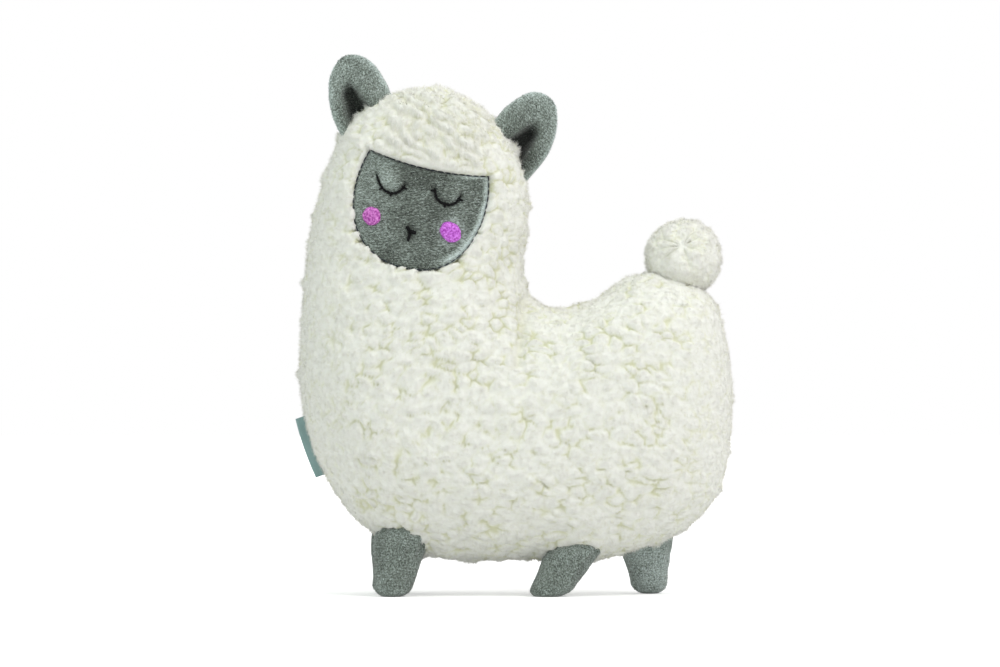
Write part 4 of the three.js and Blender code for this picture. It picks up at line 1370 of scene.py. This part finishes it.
face_nap(*face_panel())
stitch_line("eye_left_line", LEFT_LINE, radius=0.00054, lift=0.0006, ridge=0.0020, node="eye_left")
stitch_line("eye_right_line", RIGHT_LINE, radius=0.00054, lift=0.0006, ridge=0.0020, node="eye_right")
lashes("eye_left_lash", LEFT_LINE, (0.36, 0.60, 0.92), (0.0017, 0.0018, 0.0022))
lashes("eye_right_lash", RIGHT_LINE, (0.08, 0.52, 0.90), (0.0022, 0.0018, 0.0022))
cheek("cheek_left", LEFT_CHEEK, LEFT_CHEEK_REACH, PINK_THREAD)
cheek("cheek_right", RIGHT_CHEEK, RIGHT_CHEEK_REACH, VIOLET_THREAD)
nose_left = arc(np.array([(-0.0037, -0.0087), (-0.0024, -0.0098), (-0.0008, -0.0112)]), 24)
nose_right = arc(np.array([(0.0018, -0.0109), (0.0004, -0.0108), (-0.0018, -0.0106)]), 24)
mouth = arc(np.array([(-0.0010, -0.0104), (-0.0013, -0.0130), MOUTH_END]), 30)
stitch_line("nose_left", nose_left, radius=0.00085, lift=0.0006, ridge=0.0007, node="nose_and_mouth")
stitch_line("nose_right", nose_right, radius=0.00085, lift=0.0006, ridge=0.0007)
stitch_line("mouth", mouth, radius=0.00066, lift=0.0005, ridge=0.0008)
edge_stitches()


# Ears

EAR_PUFF = 0.0058
EAR_CUP = 0.0030
EAR_PLEAT = 0.0095
EAR_PLEAT_TOP = 0.62
EAR_PLEAT_WIDTH = 0.26
EAR_ROLL = 0.0030
# How pale an ear is, the painted sheen that its rim and its tip add, and the painted shade of its hollow
EAR_PALE = 0.48
RIM_PAINTED_SHEEN = 0.30
TIP_PAINTED_SHEEN = 0.16
HOLLOW_PAINTED_SHADE = 0.34
# The share of the rows that lies inside the head and needs no nap
EAR_HIDDEN = 0.14
# How many rows run from inside the head to the tip, and how many points go round each ring
EAR_ROWS = 90
EAR_RING = 128


def node_points(name):
    """The corners of a construction node's mesh."""
    mesh = frame["nodes"][name].data
    points = np.empty(len(mesh.vertices) * 3)
    mesh.vertices.foreach_get("co", points)
    return points.reshape(-1, 3)


def ear_rings(hinge, base, rise, length, width, pleat_at, fold):
    """Rings of an ear from inside the head to its tip. The half width is one less the height's share to
    the power 2.6, all to the power 0.55, so the leaf is broad at its foot and round at its tip. Front and
    back puff out as a flat oval, the rims are cupped forwards as the square of the share across, and the
    leaf is folded back in a pleat, widest at the foot and closed near the tip. It is steep on the folded
    side, where the velour rolls over it, and slopes on the other. Also tells how deep in the pleat each
    point is, and how far in its shade."""
    height = np.sin(np.linspace(-0.30, 0.5 * np.pi, EAR_ROWS))
    share = np.clip(height, 0.0, 1.0)
    half = width / 2.0 * (1.0 - share ** 2.6) ** 0.55
    angle = whole_turn(EAR_RING)
    across = np.cos(angle)[None]
    thick = EAR_PUFF * np.sqrt(np.clip(1.0 - share ** 4, 0.0, 1.0)) * (1.0 - 0.2 * share)
    puff = thick[:, None] * np.sign(np.sin(angle)) * np.abs(np.sin(angle))[None] ** 0.7
    cup = -EAR_CUP * (1.0 - 0.5 * share)[:, None] * (across ** 2 - 0.25)
    front = smooth_step(-0.4, 0.4, -np.sin(angle))[None]
    open_share = np.clip(1.0 - share / EAR_PLEAT_TOP, 0.0, 1.0)[:, None]
    gap = EAR_PLEAT_WIDTH * open_share
    beside = (across - pleat_at) * fold
    steep = 1.0 - smooth_step(gap, gap + 0.22, beside)
    trench = steep * smooth_step(-gap - 0.30, -0.2 * gap, beside) * smooth_step(0.0, 0.35, open_share)
    roll = -EAR_ROLL * front * bump(beside - gap - 0.40, 0.30) * smooth_step(0.0, 0.5, open_share)
    pleat = EAR_PLEAT * (front * trench + 0.7 * (1.0 - front) * bump(beside, 0.45) * open_share) + roll
    rings = hinge + across[..., None] * half[:, None, None] * base + (length * height)[:, None, None] * rise
    rings[..., 1] += puff + cup + pleat
    close_ends(rings)
    shaded = front * bump(beside + 0.2, 0.55) * smooth_step(0.0, 0.8, open_share)
    return rings, front * trench, shaded


def ear(name, length, width, lean, pleat_at, fold, shade, seed):
    """An ear: a front lining and an outer piece, sewn together at the rim, with their nap. It leans
    towards the crown, and starts a little inside the head. Its velour is its own tone with painted sheen,
    palest at the rim and the tip, and painted shade, dark in the hollow and beside the fold."""
    hinge = np.array(joints[f"{name}_flop"]["pos_m"])
    axis = unit(np.array(joints[f"{name}_flop"]["axis"]))
    out_of_head = np.array([axis[2], 0.0, -axis[0]])
    towards_crown = np.array([0.0, 0.0, 1.0]) - out_of_head[2] * out_of_head
    rise = math.cos(lean) * out_of_head + math.sin(lean) * unit(towards_crown)
    base = axis if axis[0] > 0 else -axis
    whole, hollow, shaded = ear_rings(hinge, base, rise, length, width, pleat_at, fold)
    inside = whole.mean(axis=1, keepdims=True) - 0.004 * rise
    lumps = clouds(whole, (0.0005, 0.009, seed), (0.0002, 0.003, seed + 1))
    out = ring_normals(whole, inside)
    whole = whole + out * lumps[..., None]
    rim = np.abs(np.cos(whole_turn(EAR_RING))) ** 6
    height = np.linspace(0.0, 1.0, EAR_ROWS)[:, None]
    # Painted sheen at the rim and the tip
    brushed = EAR_PALE + RIM_PAINTED_SHEEN * rim + TIP_PAINTED_SHEEN * height ** 2 + clouds(whole, (0.08, 0.008, seed + 2))
    # Painted shade in the hollow and beside the fold
    brushed -= HOLLOW_PAINTED_SHADE * hollow ** 2 + shade * shaded
    half = EAR_RING // 2
    sides = (("outer", np.arange(0, half + 1)), ("lining", np.arange(half, EAR_RING + 1) % EAR_RING))
    for side, columns in sides:
        outer = whole[:, columns]
        inner = (outer + 0.3 * (whole[:, -columns % EAR_RING] - outer))[:, ::-4]
        numbers = np.concatenate([brushed[:, columns], np.zeros(inner.shape[:2])], axis=1)
        rings = np.concatenate([outer, inner], axis=1)
        piece = ring_piece(f"{name}_{side}_velour", rings, [LIMB_VELOUR], brushed=numbers)
        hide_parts(f"{name}_{side}")
        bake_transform(piece)
    weight = (np.linspace(0.0, 1.0, EAR_ROWS) > EAR_HIDDEN)[:, None] * np.ones(EAR_RING + 1)
    layers = wrapped(whole, out, brushed)
    nap = velour_nap(f"{name}_nap", *layers, 0.8 * rise, LIMB_GRAIN, np.random.default_rng(seed), weight)
    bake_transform(nap)


LEFT_LEAN = math.radians(13.0)
RIGHT_LEAN = math.radians(21.0)
ear("ear_left", length=0.0284, width=0.0318, lean=LEFT_LEAN, pleat_at=-0.22, fold=1, shade=0.16, seed=301)
ear("ear_right", length=0.0312, width=0.0345, lean=RIGHT_LEAN, pleat_at=0.12, fold=-1, shade=0.46, seed=305)


# Legs

LEG_TOP_RADIUS = 0.0138
LEG_ROUNDING = 0.0062
LEG_TUCK = 0.011
LEG_INWARD = 0.005
# The nap starts this far above the floor and ends this far above the hinge
LEG_SOLE_EDGE = 0.0016
LEG_HIDDEN = 0.006
# Corners of the construction leg that are lower than this belong to its sole
SOLE_HEIGHT = 0.0003
# The lumps fade out below this height
LEG_LUMP_HEIGHT = 0.008
LEG_PLEATS = 11.0
LEG_PLEAT_DEPTH = 0.0004
# Rows round the sole's edge and in the top dome, rows up the side, and points round each ring
LEG_ARC_ROWS = 14
LEG_SIDE_ROWS = 44
LEG_RING = 96


def leg(name, shift, toe, foot, pale, seed):
    """A stuffed leg that stands on a flat, round-edged sole. Its radius follows a quarter circle up from
    the sole, widens to the hinge as the height's share to the power 1.15, and closes in a dome inside the
    body. Its middle runs straight from the sole to a point beside the hinge, at the given shift along X
    and a little towards the belly's middle. It has soft lumps, and towards the hinge faint pleats as a
    sine round it. Toe moves the sole along X, foot is the sole's radius, and pale tells how pale the
    velour is: its own tone, which on the rear far leg is raised by painted light."""
    hinge = np.array(joints[f"{name}_swing"]["pos_m"])
    corners = node_points(f"{name}_cover")
    sole = corners[corners[:, 2] < SOLE_HEIGHT].mean(axis=0) * np.array([1.0, 1.0, 0.0])
    sole[0] += toe
    turn = np.linspace(0.0, 0.5 * np.pi, LEG_ARC_ROWS)
    flat = np.linspace(0.0, foot - LEG_ROUNDING, 5)[:-1]
    foot_radius = foot - LEG_ROUNDING * (1.0 - np.sin(turn))
    foot_height = LEG_ROUNDING * (1.0 - np.cos(turn))
    climb = np.linspace(0.0, 1.0, LEG_SIDE_ROWS)[1:]
    side_height = LEG_ROUNDING + climb * (hinge[2] - LEG_ROUNDING)
    side_radius = foot + (LEG_TOP_RADIUS - foot) * climb ** 1.15
    dome = turn[1:]
    height = np.concatenate([0.0 * flat, foot_height, side_height, hinge[2] + LEG_TUCK * np.sin(dome)])
    radius = np.concatenate([flat, foot_radius, side_radius, LEG_TOP_RADIUS * np.cos(dome)])
    top = hinge + np.array([shift, -math.copysign(LEG_INWARD, hinge[1]), 0.0])
    middle = sole + (height / hinge[2])[:, None] * (top - sole)
    angle = whole_turn(LEG_RING)
    around = np.stack([np.cos(angle), np.sin(angle), np.zeros(LEG_RING)], axis=-1)
    rings = middle[:, None] + radius[:, None, None] * around[None]
    share = smooth_step(0.0, LEG_LUMP_HEIGHT, height)[:, None]
    pleats = LEG_PLEAT_DEPTH * np.sin(LEG_PLEATS * angle + seed)[None]
    pleats = pleats * smooth_step(0.4, 1.0, height / hinge[2])[:, None]
    lumps = share * (clouds(rings, (0.0007, 0.011, seed), (0.0003, 0.004, seed + 1)) + pleats)
    rings = rings + around[None] * lumps[..., None]
    out = ring_normals(rings, middle[:, None])
    brushed = pale + clouds(rings, (0.10, 0.008, seed + 2))
    piece = ring_piece(f"{name}_velour", rings, [LIMB_VELOUR], brushed=brushed)
    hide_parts(f"{name}_cover", f"{name}_stuffing")
    down = unit(sole - hinge)
    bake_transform(piece)
    shown = (height > LEG_SOLE_EDGE) & (height < hinge[2] + LEG_HIDDEN)
    weight = shown[:, None] * np.ones(LEG_RING + 1)
    layers = wrapped(rings, out, brushed)
    nap = velour_nap(f"{name}_nap", *layers, 0.9 * down, LIMB_GRAIN, np.random.default_rng(seed), weight)
    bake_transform(nap)


leg("leg_front_near", shift=0.0025, toe=0.0, foot=0.0097, pale=0.50, seed=401)
leg("leg_front_far", shift=0.0025, toe=0.0, foot=0.0097, pale=0.50, seed=411)
leg("leg_rear_near", shift=0.0046, toe=-0.0040, foot=0.0112, pale=0.50, seed=421)
# Painted light: the rear far leg is painted paler than the others
leg("leg_rear_far", shift=-0.0015, toe=0.0010, foot=0.0090, pale=0.70, seed=431)


# Tail

TAIL_FACING = np.array([-0.05, -0.92, 0.38])
TAIL_GATHERS = 7
TAIL_FLUFF = 0.0010
TAIL_SOFTNESS = 0.4
TAIL_DIP = 0.0030
TAIL_FOLD = 0.0018
# How deep in shade the ball's underside and its folds are, as valleys
UNDERSIDE_SHADE = 0.35
FOLD_SHADE = 0.5
TAIL_ROWS = 130
TAIL_RING = 200


def tail():
    """A ball of curly pile gathered at one side: its radius is drawn in at the gathers' middle by a bell
    curve, and folds run out from there, as the size of a sine with a whole number of lobes, unevenly
    spaced, fading round the ball. Low curls and fluff cover it."""
    low, high = (np.array(corner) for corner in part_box("tail_cover"))
    radius = (high[0] - low[0]) / 2.0 + TAIL_FLUFF
    centre = np.array([(low[0] + high[0]) / 2.0 + TAIL_FLUFF, (low[1] + high[1]) / 2.0, high[2] - radius])
    pole = unit(TAIL_FACING)
    side = unit(np.cross(pole, np.array([0.0, 0.0, 1.0])))
    up = np.cross(side, pole)
    polar = np.linspace(0.0, np.pi, TAIL_ROWS)
    angle = whole_turn(TAIL_RING)
    ring = np.cos(angle)[:, None] * side + np.sin(angle)[:, None] * up
    direction = np.cos(polar)[:, None, None] * pole + np.sin(polar)[:, None, None] * ring[None]
    wander = angle + 0.35 * np.sin(2.0 * angle + 0.7) + 0.2 * np.sin(3.0 * angle)
    folds = np.abs(np.sin(TAIL_GATHERS * wander / 2.0)) ** 0.7
    strength = bump(polar - 0.42, 0.42) * smooth_step(0.0, 0.25, polar)
    dip = TAIL_DIP * bump(polar, 0.34)[:, None]
    reach = radius - dip - TAIL_FOLD * (1.0 - folds)[None] * strength[:, None]
    form = centre + direction * reach[..., None]
    middles = curl_middles(form, 72)
    height, valley = curls(form, middles)
    fluff = clouds(form, (0.0003, 0.0016, 7))
    under = smooth_step(0.2, 0.9, -direction[..., 2])
    # Painted shade in the curls' valleys and on the ball's underside
    valley = np.maximum(TAIL_SOFTNESS * valley, UNDERSIDE_SHADE * under)
    skin = form + direction * (TAIL_SOFTNESS * CURL_HEIGHT * (height - height.mean()) + fluff)[..., None]
    close_ends(skin)
    out = ring_normals(skin, centre)
    # Painted shade in the folds
    fold_shade = (1.0 - folds)[None] ** 2 * strength[:, None]
    numbers = np.maximum(valley, FOLD_SHADE * fold_shade)
    piece = ring_piece("tail_skin", skin, [WOOL_SKIN], valley=numbers)
    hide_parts("tail_cover", "tail_stuffing")
    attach(piece, "tail")
    count = TAIL_FIBRES
    weight = np.ones((TAIL_ROWS, TAIL_RING + 1))
    layers = wrapped(skin, out, form, direction)
    pile = wool_pile("tail_pile", *layers, middles, count, np.random.default_rng(501), weight)
    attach(pile, "tail")


tail()


# Label

LABEL_WIDTH = 0.031
LABEL_PROUD = 0.0030
LABEL_BOW = 0.0008
LABEL_RISE = 0.0012
LABEL_TUCK = 0.004
LABEL_CLOTH = 0.00055
LABEL_OPEN = 0.0011
LABEL_WAVE = 0.0006
LABEL_WAVES = 260.0
LABEL_STEPS = 36
LABEL_ROWS = 60


def label():
    """A bare ribbon folded in half and sewn into the outline: a U-shaped path with a thickness, carried
    along the seam. It bows out by one less the square of the share from its middle to an end, with a slow
    wave along its fold."""
    hinge = np.array(joints["label_flap"]["pos_m"])
    axis = unit(np.array(joints["label_flap"]["axis"]))
    out = unit(np.cross(np.array([0.0, 1.0, 0.0]), axis))
    out = out if out[0] < 0 else -out
    bend = np.linspace(-0.5 * np.pi, 0.5 * np.pi, 13)
    radius = LABEL_OPEN / 2.0
    round_fold = LABEL_PROUD - radius * (1.0 - np.cos(bend))
    reach = np.concatenate([[-LABEL_TUCK, 0.0], round_fold, [0.0, -LABEL_TUCK]])
    depth = np.concatenate([[-radius, -radius], radius * np.sin(bend), [radius, radius]])
    path = evenly(np.stack([reach, depth], axis=-1), LABEL_STEPS)
    tangent = unit(np.gradient(path, axis=0))
    normal = np.stack([tangent[:, 1], -tangent[:, 0]], axis=-1)
    loop = np.concatenate([path + normal * LABEL_CLOTH / 2.0, (path - normal * LABEL_CLOTH / 2.0)[::-1]])
    along = np.linspace(-0.5, 0.5, LABEL_ROWS) * LABEL_WIDTH
    upwards = LABEL_RISE * math.copysign(1.0, axis[2]) * axis
    wave = LABEL_WAVE * np.sin(along * LABEL_WAVES + 0.6)
    bow = LABEL_BOW * (1.0 - (2.0 * along / LABEL_WIDTH) ** 2)
    rings = hinge + upwards + (loop[None, :, :1] + bow[:, None, None]) * out + along[:, None, None] * axis
    rings[..., 1] += loop[None, :, 1] + wave[:, None] * smooth_step(0.0, LABEL_PROUD, loop[:, 0])[None]
    count = len(loop)
    corner = np.arange(len(along) * count).reshape(len(along), count)
    step = np.arange(count // 2 - 1)
    mirror = count - 1 - step
    across = np.stack([step, mirror, mirror - 1, step + 1], axis=-1)
    first = corner[0, across]
    last = corner[-1, across[:, ::-1]]
    points = rings.reshape(-1, 3)
    faces = turned_outwards(points, [ring_quads(corner), first, last])
    piece = mesh_piece("side_label_ribbon", points, faces, [LABEL_RIBBON])
    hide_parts("side_label")
    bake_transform(piece)


label()


# Stuffing

WAD_SCALE = 0.78
WAD_GAP = 0.36
WAD_LUMPS = 0.0012
WAD_LUMP_SIZE = 0.012
WAD_ROWS = 60
WAD_RING = 80
CROWN_STATION = 0.4
NECK_STATION = 5.6
SHOULDER_STATION = NECK_STATION + 0.2
RUMP_STATION = 14.6


def wad(name, first, last, angles, gap):
    """A wad of filling inside the cover, over a range of stations: the body's form drawn in towards the
    sections' middles, cut off at a share of its depth on the squeaker's side, rounded at both ends, and
    lumpy."""
    station = np.linspace(first, last, WAD_ROWS)
    middle = section_middles(station)[:, None]
    rings = middle + WAD_SCALE * (body_surface(station, angles) - middle)
    if gap:
        side = np.sign(np.sin(angles).mean())
        depth = np.abs(rings[..., 1]).max(axis=1, keepdims=True) * gap
        rings[..., 1] = side * np.maximum(side * rings[..., 1], depth)
    closing = np.sqrt(np.clip(1.0 - np.linspace(-1.0, 1.0, WAD_ROWS) ** 8, 0.0, 1.0))[:, None, None]
    heart = rings.mean(axis=1, keepdims=True)
    rings = heart + closing * (rings - heart)
    lumps = cloud(rings, WAD_LUMP_SIZE, 61)[..., None]
    rings = rings + WAD_LUMPS * closing * unit(rings - heart) * lumps
    piece = ring_piece(name, rings, [FIBRE_FILLING])
    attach(piece, "body")
    return piece


front_turn = np.linspace(np.pi, 2.0 * np.pi, WAD_RING)
back_turn = np.linspace(0.0, np.pi, WAD_RING)
head_wad = wad("head_filling", CROWN_STATION, NECK_STATION, whole_turn(WAD_RING), 0.0)
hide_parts("head_stuffing")
front_wad = wad("torso_filling_front", SHOULDER_STATION, RUMP_STATION, front_turn, WAD_GAP)
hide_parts("torso_stuffing_front")
back_wad = wad("torso_filling_back", SHOULDER_STATION, RUMP_STATION, back_turn, WAD_GAP)
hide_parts("torso_stuffing_back")


# Carried-over construction nodes

KEPT_FINISHES = {
    "outline_seam_thread": CREAM_THREAD,
    "tail_gathering_thread": CREAM_THREAD,
    "squeaker_base": SQUEAKER_SHELL,
    "squeaker_dome": SQUEAKER_SHELL,
    "squeaker_reed_plug": SQUEAKER_SHELL,
    "squeaker_reed": REED_PLATE,
}
for node_name, finish in KEPT_FINISHES.items():
    node_mesh = frame["nodes"][node_name].data
    node_mesh.materials.clear()
    node_mesh.materials.append(finish)


# Floor, light and camera

FLOOR_REACH = 4.0
FLOOR_GLOW = 0.36
FLOOR_GLOW_START = 0.20
FLOOR_GLOW_FULL = 0.70
ROOM_COLOUR = (0.975, 0.985, 0.985, 1.0)
ROOM_STRENGTH = 0.60
WHITE = (1.0, 1.0, 1.0, 1.0)
LIGHT_TARGET = (0.0, 0.0, 0.11)


def camera_switch(tree, lit):
    """A switch between two shaders: the second for the rays that make the picture, and the first, the lit
    one, for the rays that light the toy."""
    nodes = tree.nodes
    path = nodes.new("ShaderNodeLightPath")
    seen = path.outputs["Is Camera Ray"]
    for kind in ("Is Glossy Ray", "Is Transmission Ray"):
        either = nodes.new("ShaderNodeMath")
        either.operation = "MAXIMUM"
        tree.links.new(seen, either.inputs[0])
        tree.links.new(path.outputs[kind], either.inputs[1])
        seen = either.outputs[0]
    mix = nodes.new("ShaderNodeMixShader")
    tree.links.new(seen, mix.inputs[0])
    tree.links.new(lit, mix.inputs[1])
    return mix


def floor():
    """A wide pale floor. For the rays that make the picture, a glow is added to its own light: faint near
    the toy, where the floor keeps the toy's soft shadow, and full farther away, where the lamps don't
    reach."""
    points = FLOOR_REACH * np.array([(-1.0, -1.0, 0.0), (1.0, -1.0, 0.0), (1.0, 1.0, 0.0), (-1.0, 1.0, 0.0)])
    made = Finish("floor_paper", tone(250, 250, 250), roughness=0.9, specular=0.0)
    tree = made.tree
    away = made.node("ShaderNodeVectorMath", Vector=made.place())
    away.operation = "LENGTH"
    reach = made.node("ShaderNodeMapRange", Value=away.outputs["Value"], To_Min=FLOOR_GLOW)
    reach.inputs["From Min"].default_value = FLOOR_GLOW_START
    reach.inputs["From Max"].default_value = FLOOR_GLOW_FULL
    glow = made.node("ShaderNodeEmission", Strength=reach.outputs["Result"])
    lit = tree.nodes.new("ShaderNodeAddShader")
    tree.links.new(made.shader.outputs["BSDF"], lit.inputs[0])
    tree.links.new(glow.outputs["Emission"], lit.inputs[1])
    mix = camera_switch(tree, made.shader.outputs["BSDF"])
    tree.links.new(lit.outputs[0], mix.inputs[2])
    tree.links.new(mix.outputs[0], tree.nodes["Material Output"].inputs["Surface"])
    piece = mesh_piece("floor", points, [np.array([[0, 1, 2, 3]])], [made.material])


def studio_world():
    """Even light from all round, and a white background for the picture."""
    world = bpy.data.worlds.new("studio")
    bpy.context.scene.world = world
    world.use_nodes = True
    tree = world.node_tree
    lit = tree.nodes["Background"]
    lit.inputs["Color"].default_value = ROOM_COLOUR
    lit.inputs["Strength"].default_value = ROOM_STRENGTH
    white = tree.nodes.new("ShaderNodeBackground")
    white.inputs["Color"].default_value = WHITE
    white.inputs["Strength"].default_value = 1.0
    mix = camera_switch(tree, lit.outputs["Background"])
    tree.links.new(white.outputs["Background"], mix.inputs[2])
    tree.links.new(mix.outputs[0], tree.nodes["World Output"].inputs["Surface"])


def softbox(name, place, target, size, power, colour):
    """A square lamp at a place, turned to a target."""
    lamp = bpy.data.lights.new(name, "AREA")
    lamp.size = size
    lamp.energy = power
    lamp.color = colour
    made = bpy.data.objects.new(name, lamp)
    made.location = place
    made.rotation_euler = (Vector(target) - Vector(place)).to_track_quat("-Z", "Y").to_euler()
    bpy.context.scene.collection.objects.link(made)


CAMERA_TARGET = Vector((-0.0065, 0.0, 0.13075))
CAMERA_DISTANCE = 4.0
CAMERA_HEIGHT_ANGLE = math.radians(0.4)
LENS_MILLIMETRES = 288.0
SENSOR_MILLIMETRES = 36.0


def camera():
    """A long lens, looking at the toy's side from slightly above."""
    lens = bpy.data.cameras.new("camera")
    lens.lens = LENS_MILLIMETRES
    lens.sensor_width = SENSOR_MILLIMETRES
    made = bpy.data.objects.new("camera", lens)
    away = Vector((0.0, -math.cos(CAMERA_HEIGHT_ANGLE), math.sin(CAMERA_HEIGHT_ANGLE)))
    made.location = CAMERA_TARGET + CAMERA_DISTANCE * away
    made.rotation_euler = (-away).to_track_quat("-Z", "Y").to_euler()
    bpy.context.scene.collection.objects.link(made)
    bpy.context.scene.camera = made


floor()
studio_world()
softbox("key_light", (0.75, -0.85, 1.05), LIGHT_TARGET, size=0.7, power=7.6, colour=(1.0, 0.974, 0.958))
softbox("fill_light", (-0.85, -0.85, 1.10), (0.0, 0.0, 0.16), size=0.9, power=4.0, colour=(0.82, 1.0, 0.87))
softbox("top_light", (0.05, -0.15, 1.4), LIGHT_TARGET, size=0.9, power=4.0, colour=(1.0, 0.985, 0.97))
softbox("rump_light", (1.1, 0.25, 0.45), (0.05, 0.0, 0.11), size=0.8, power=0.9, colour=(0.95, 0.98, 1.0))
camera()
bpy.context.scene.view_settings.view_transform = "Standard"
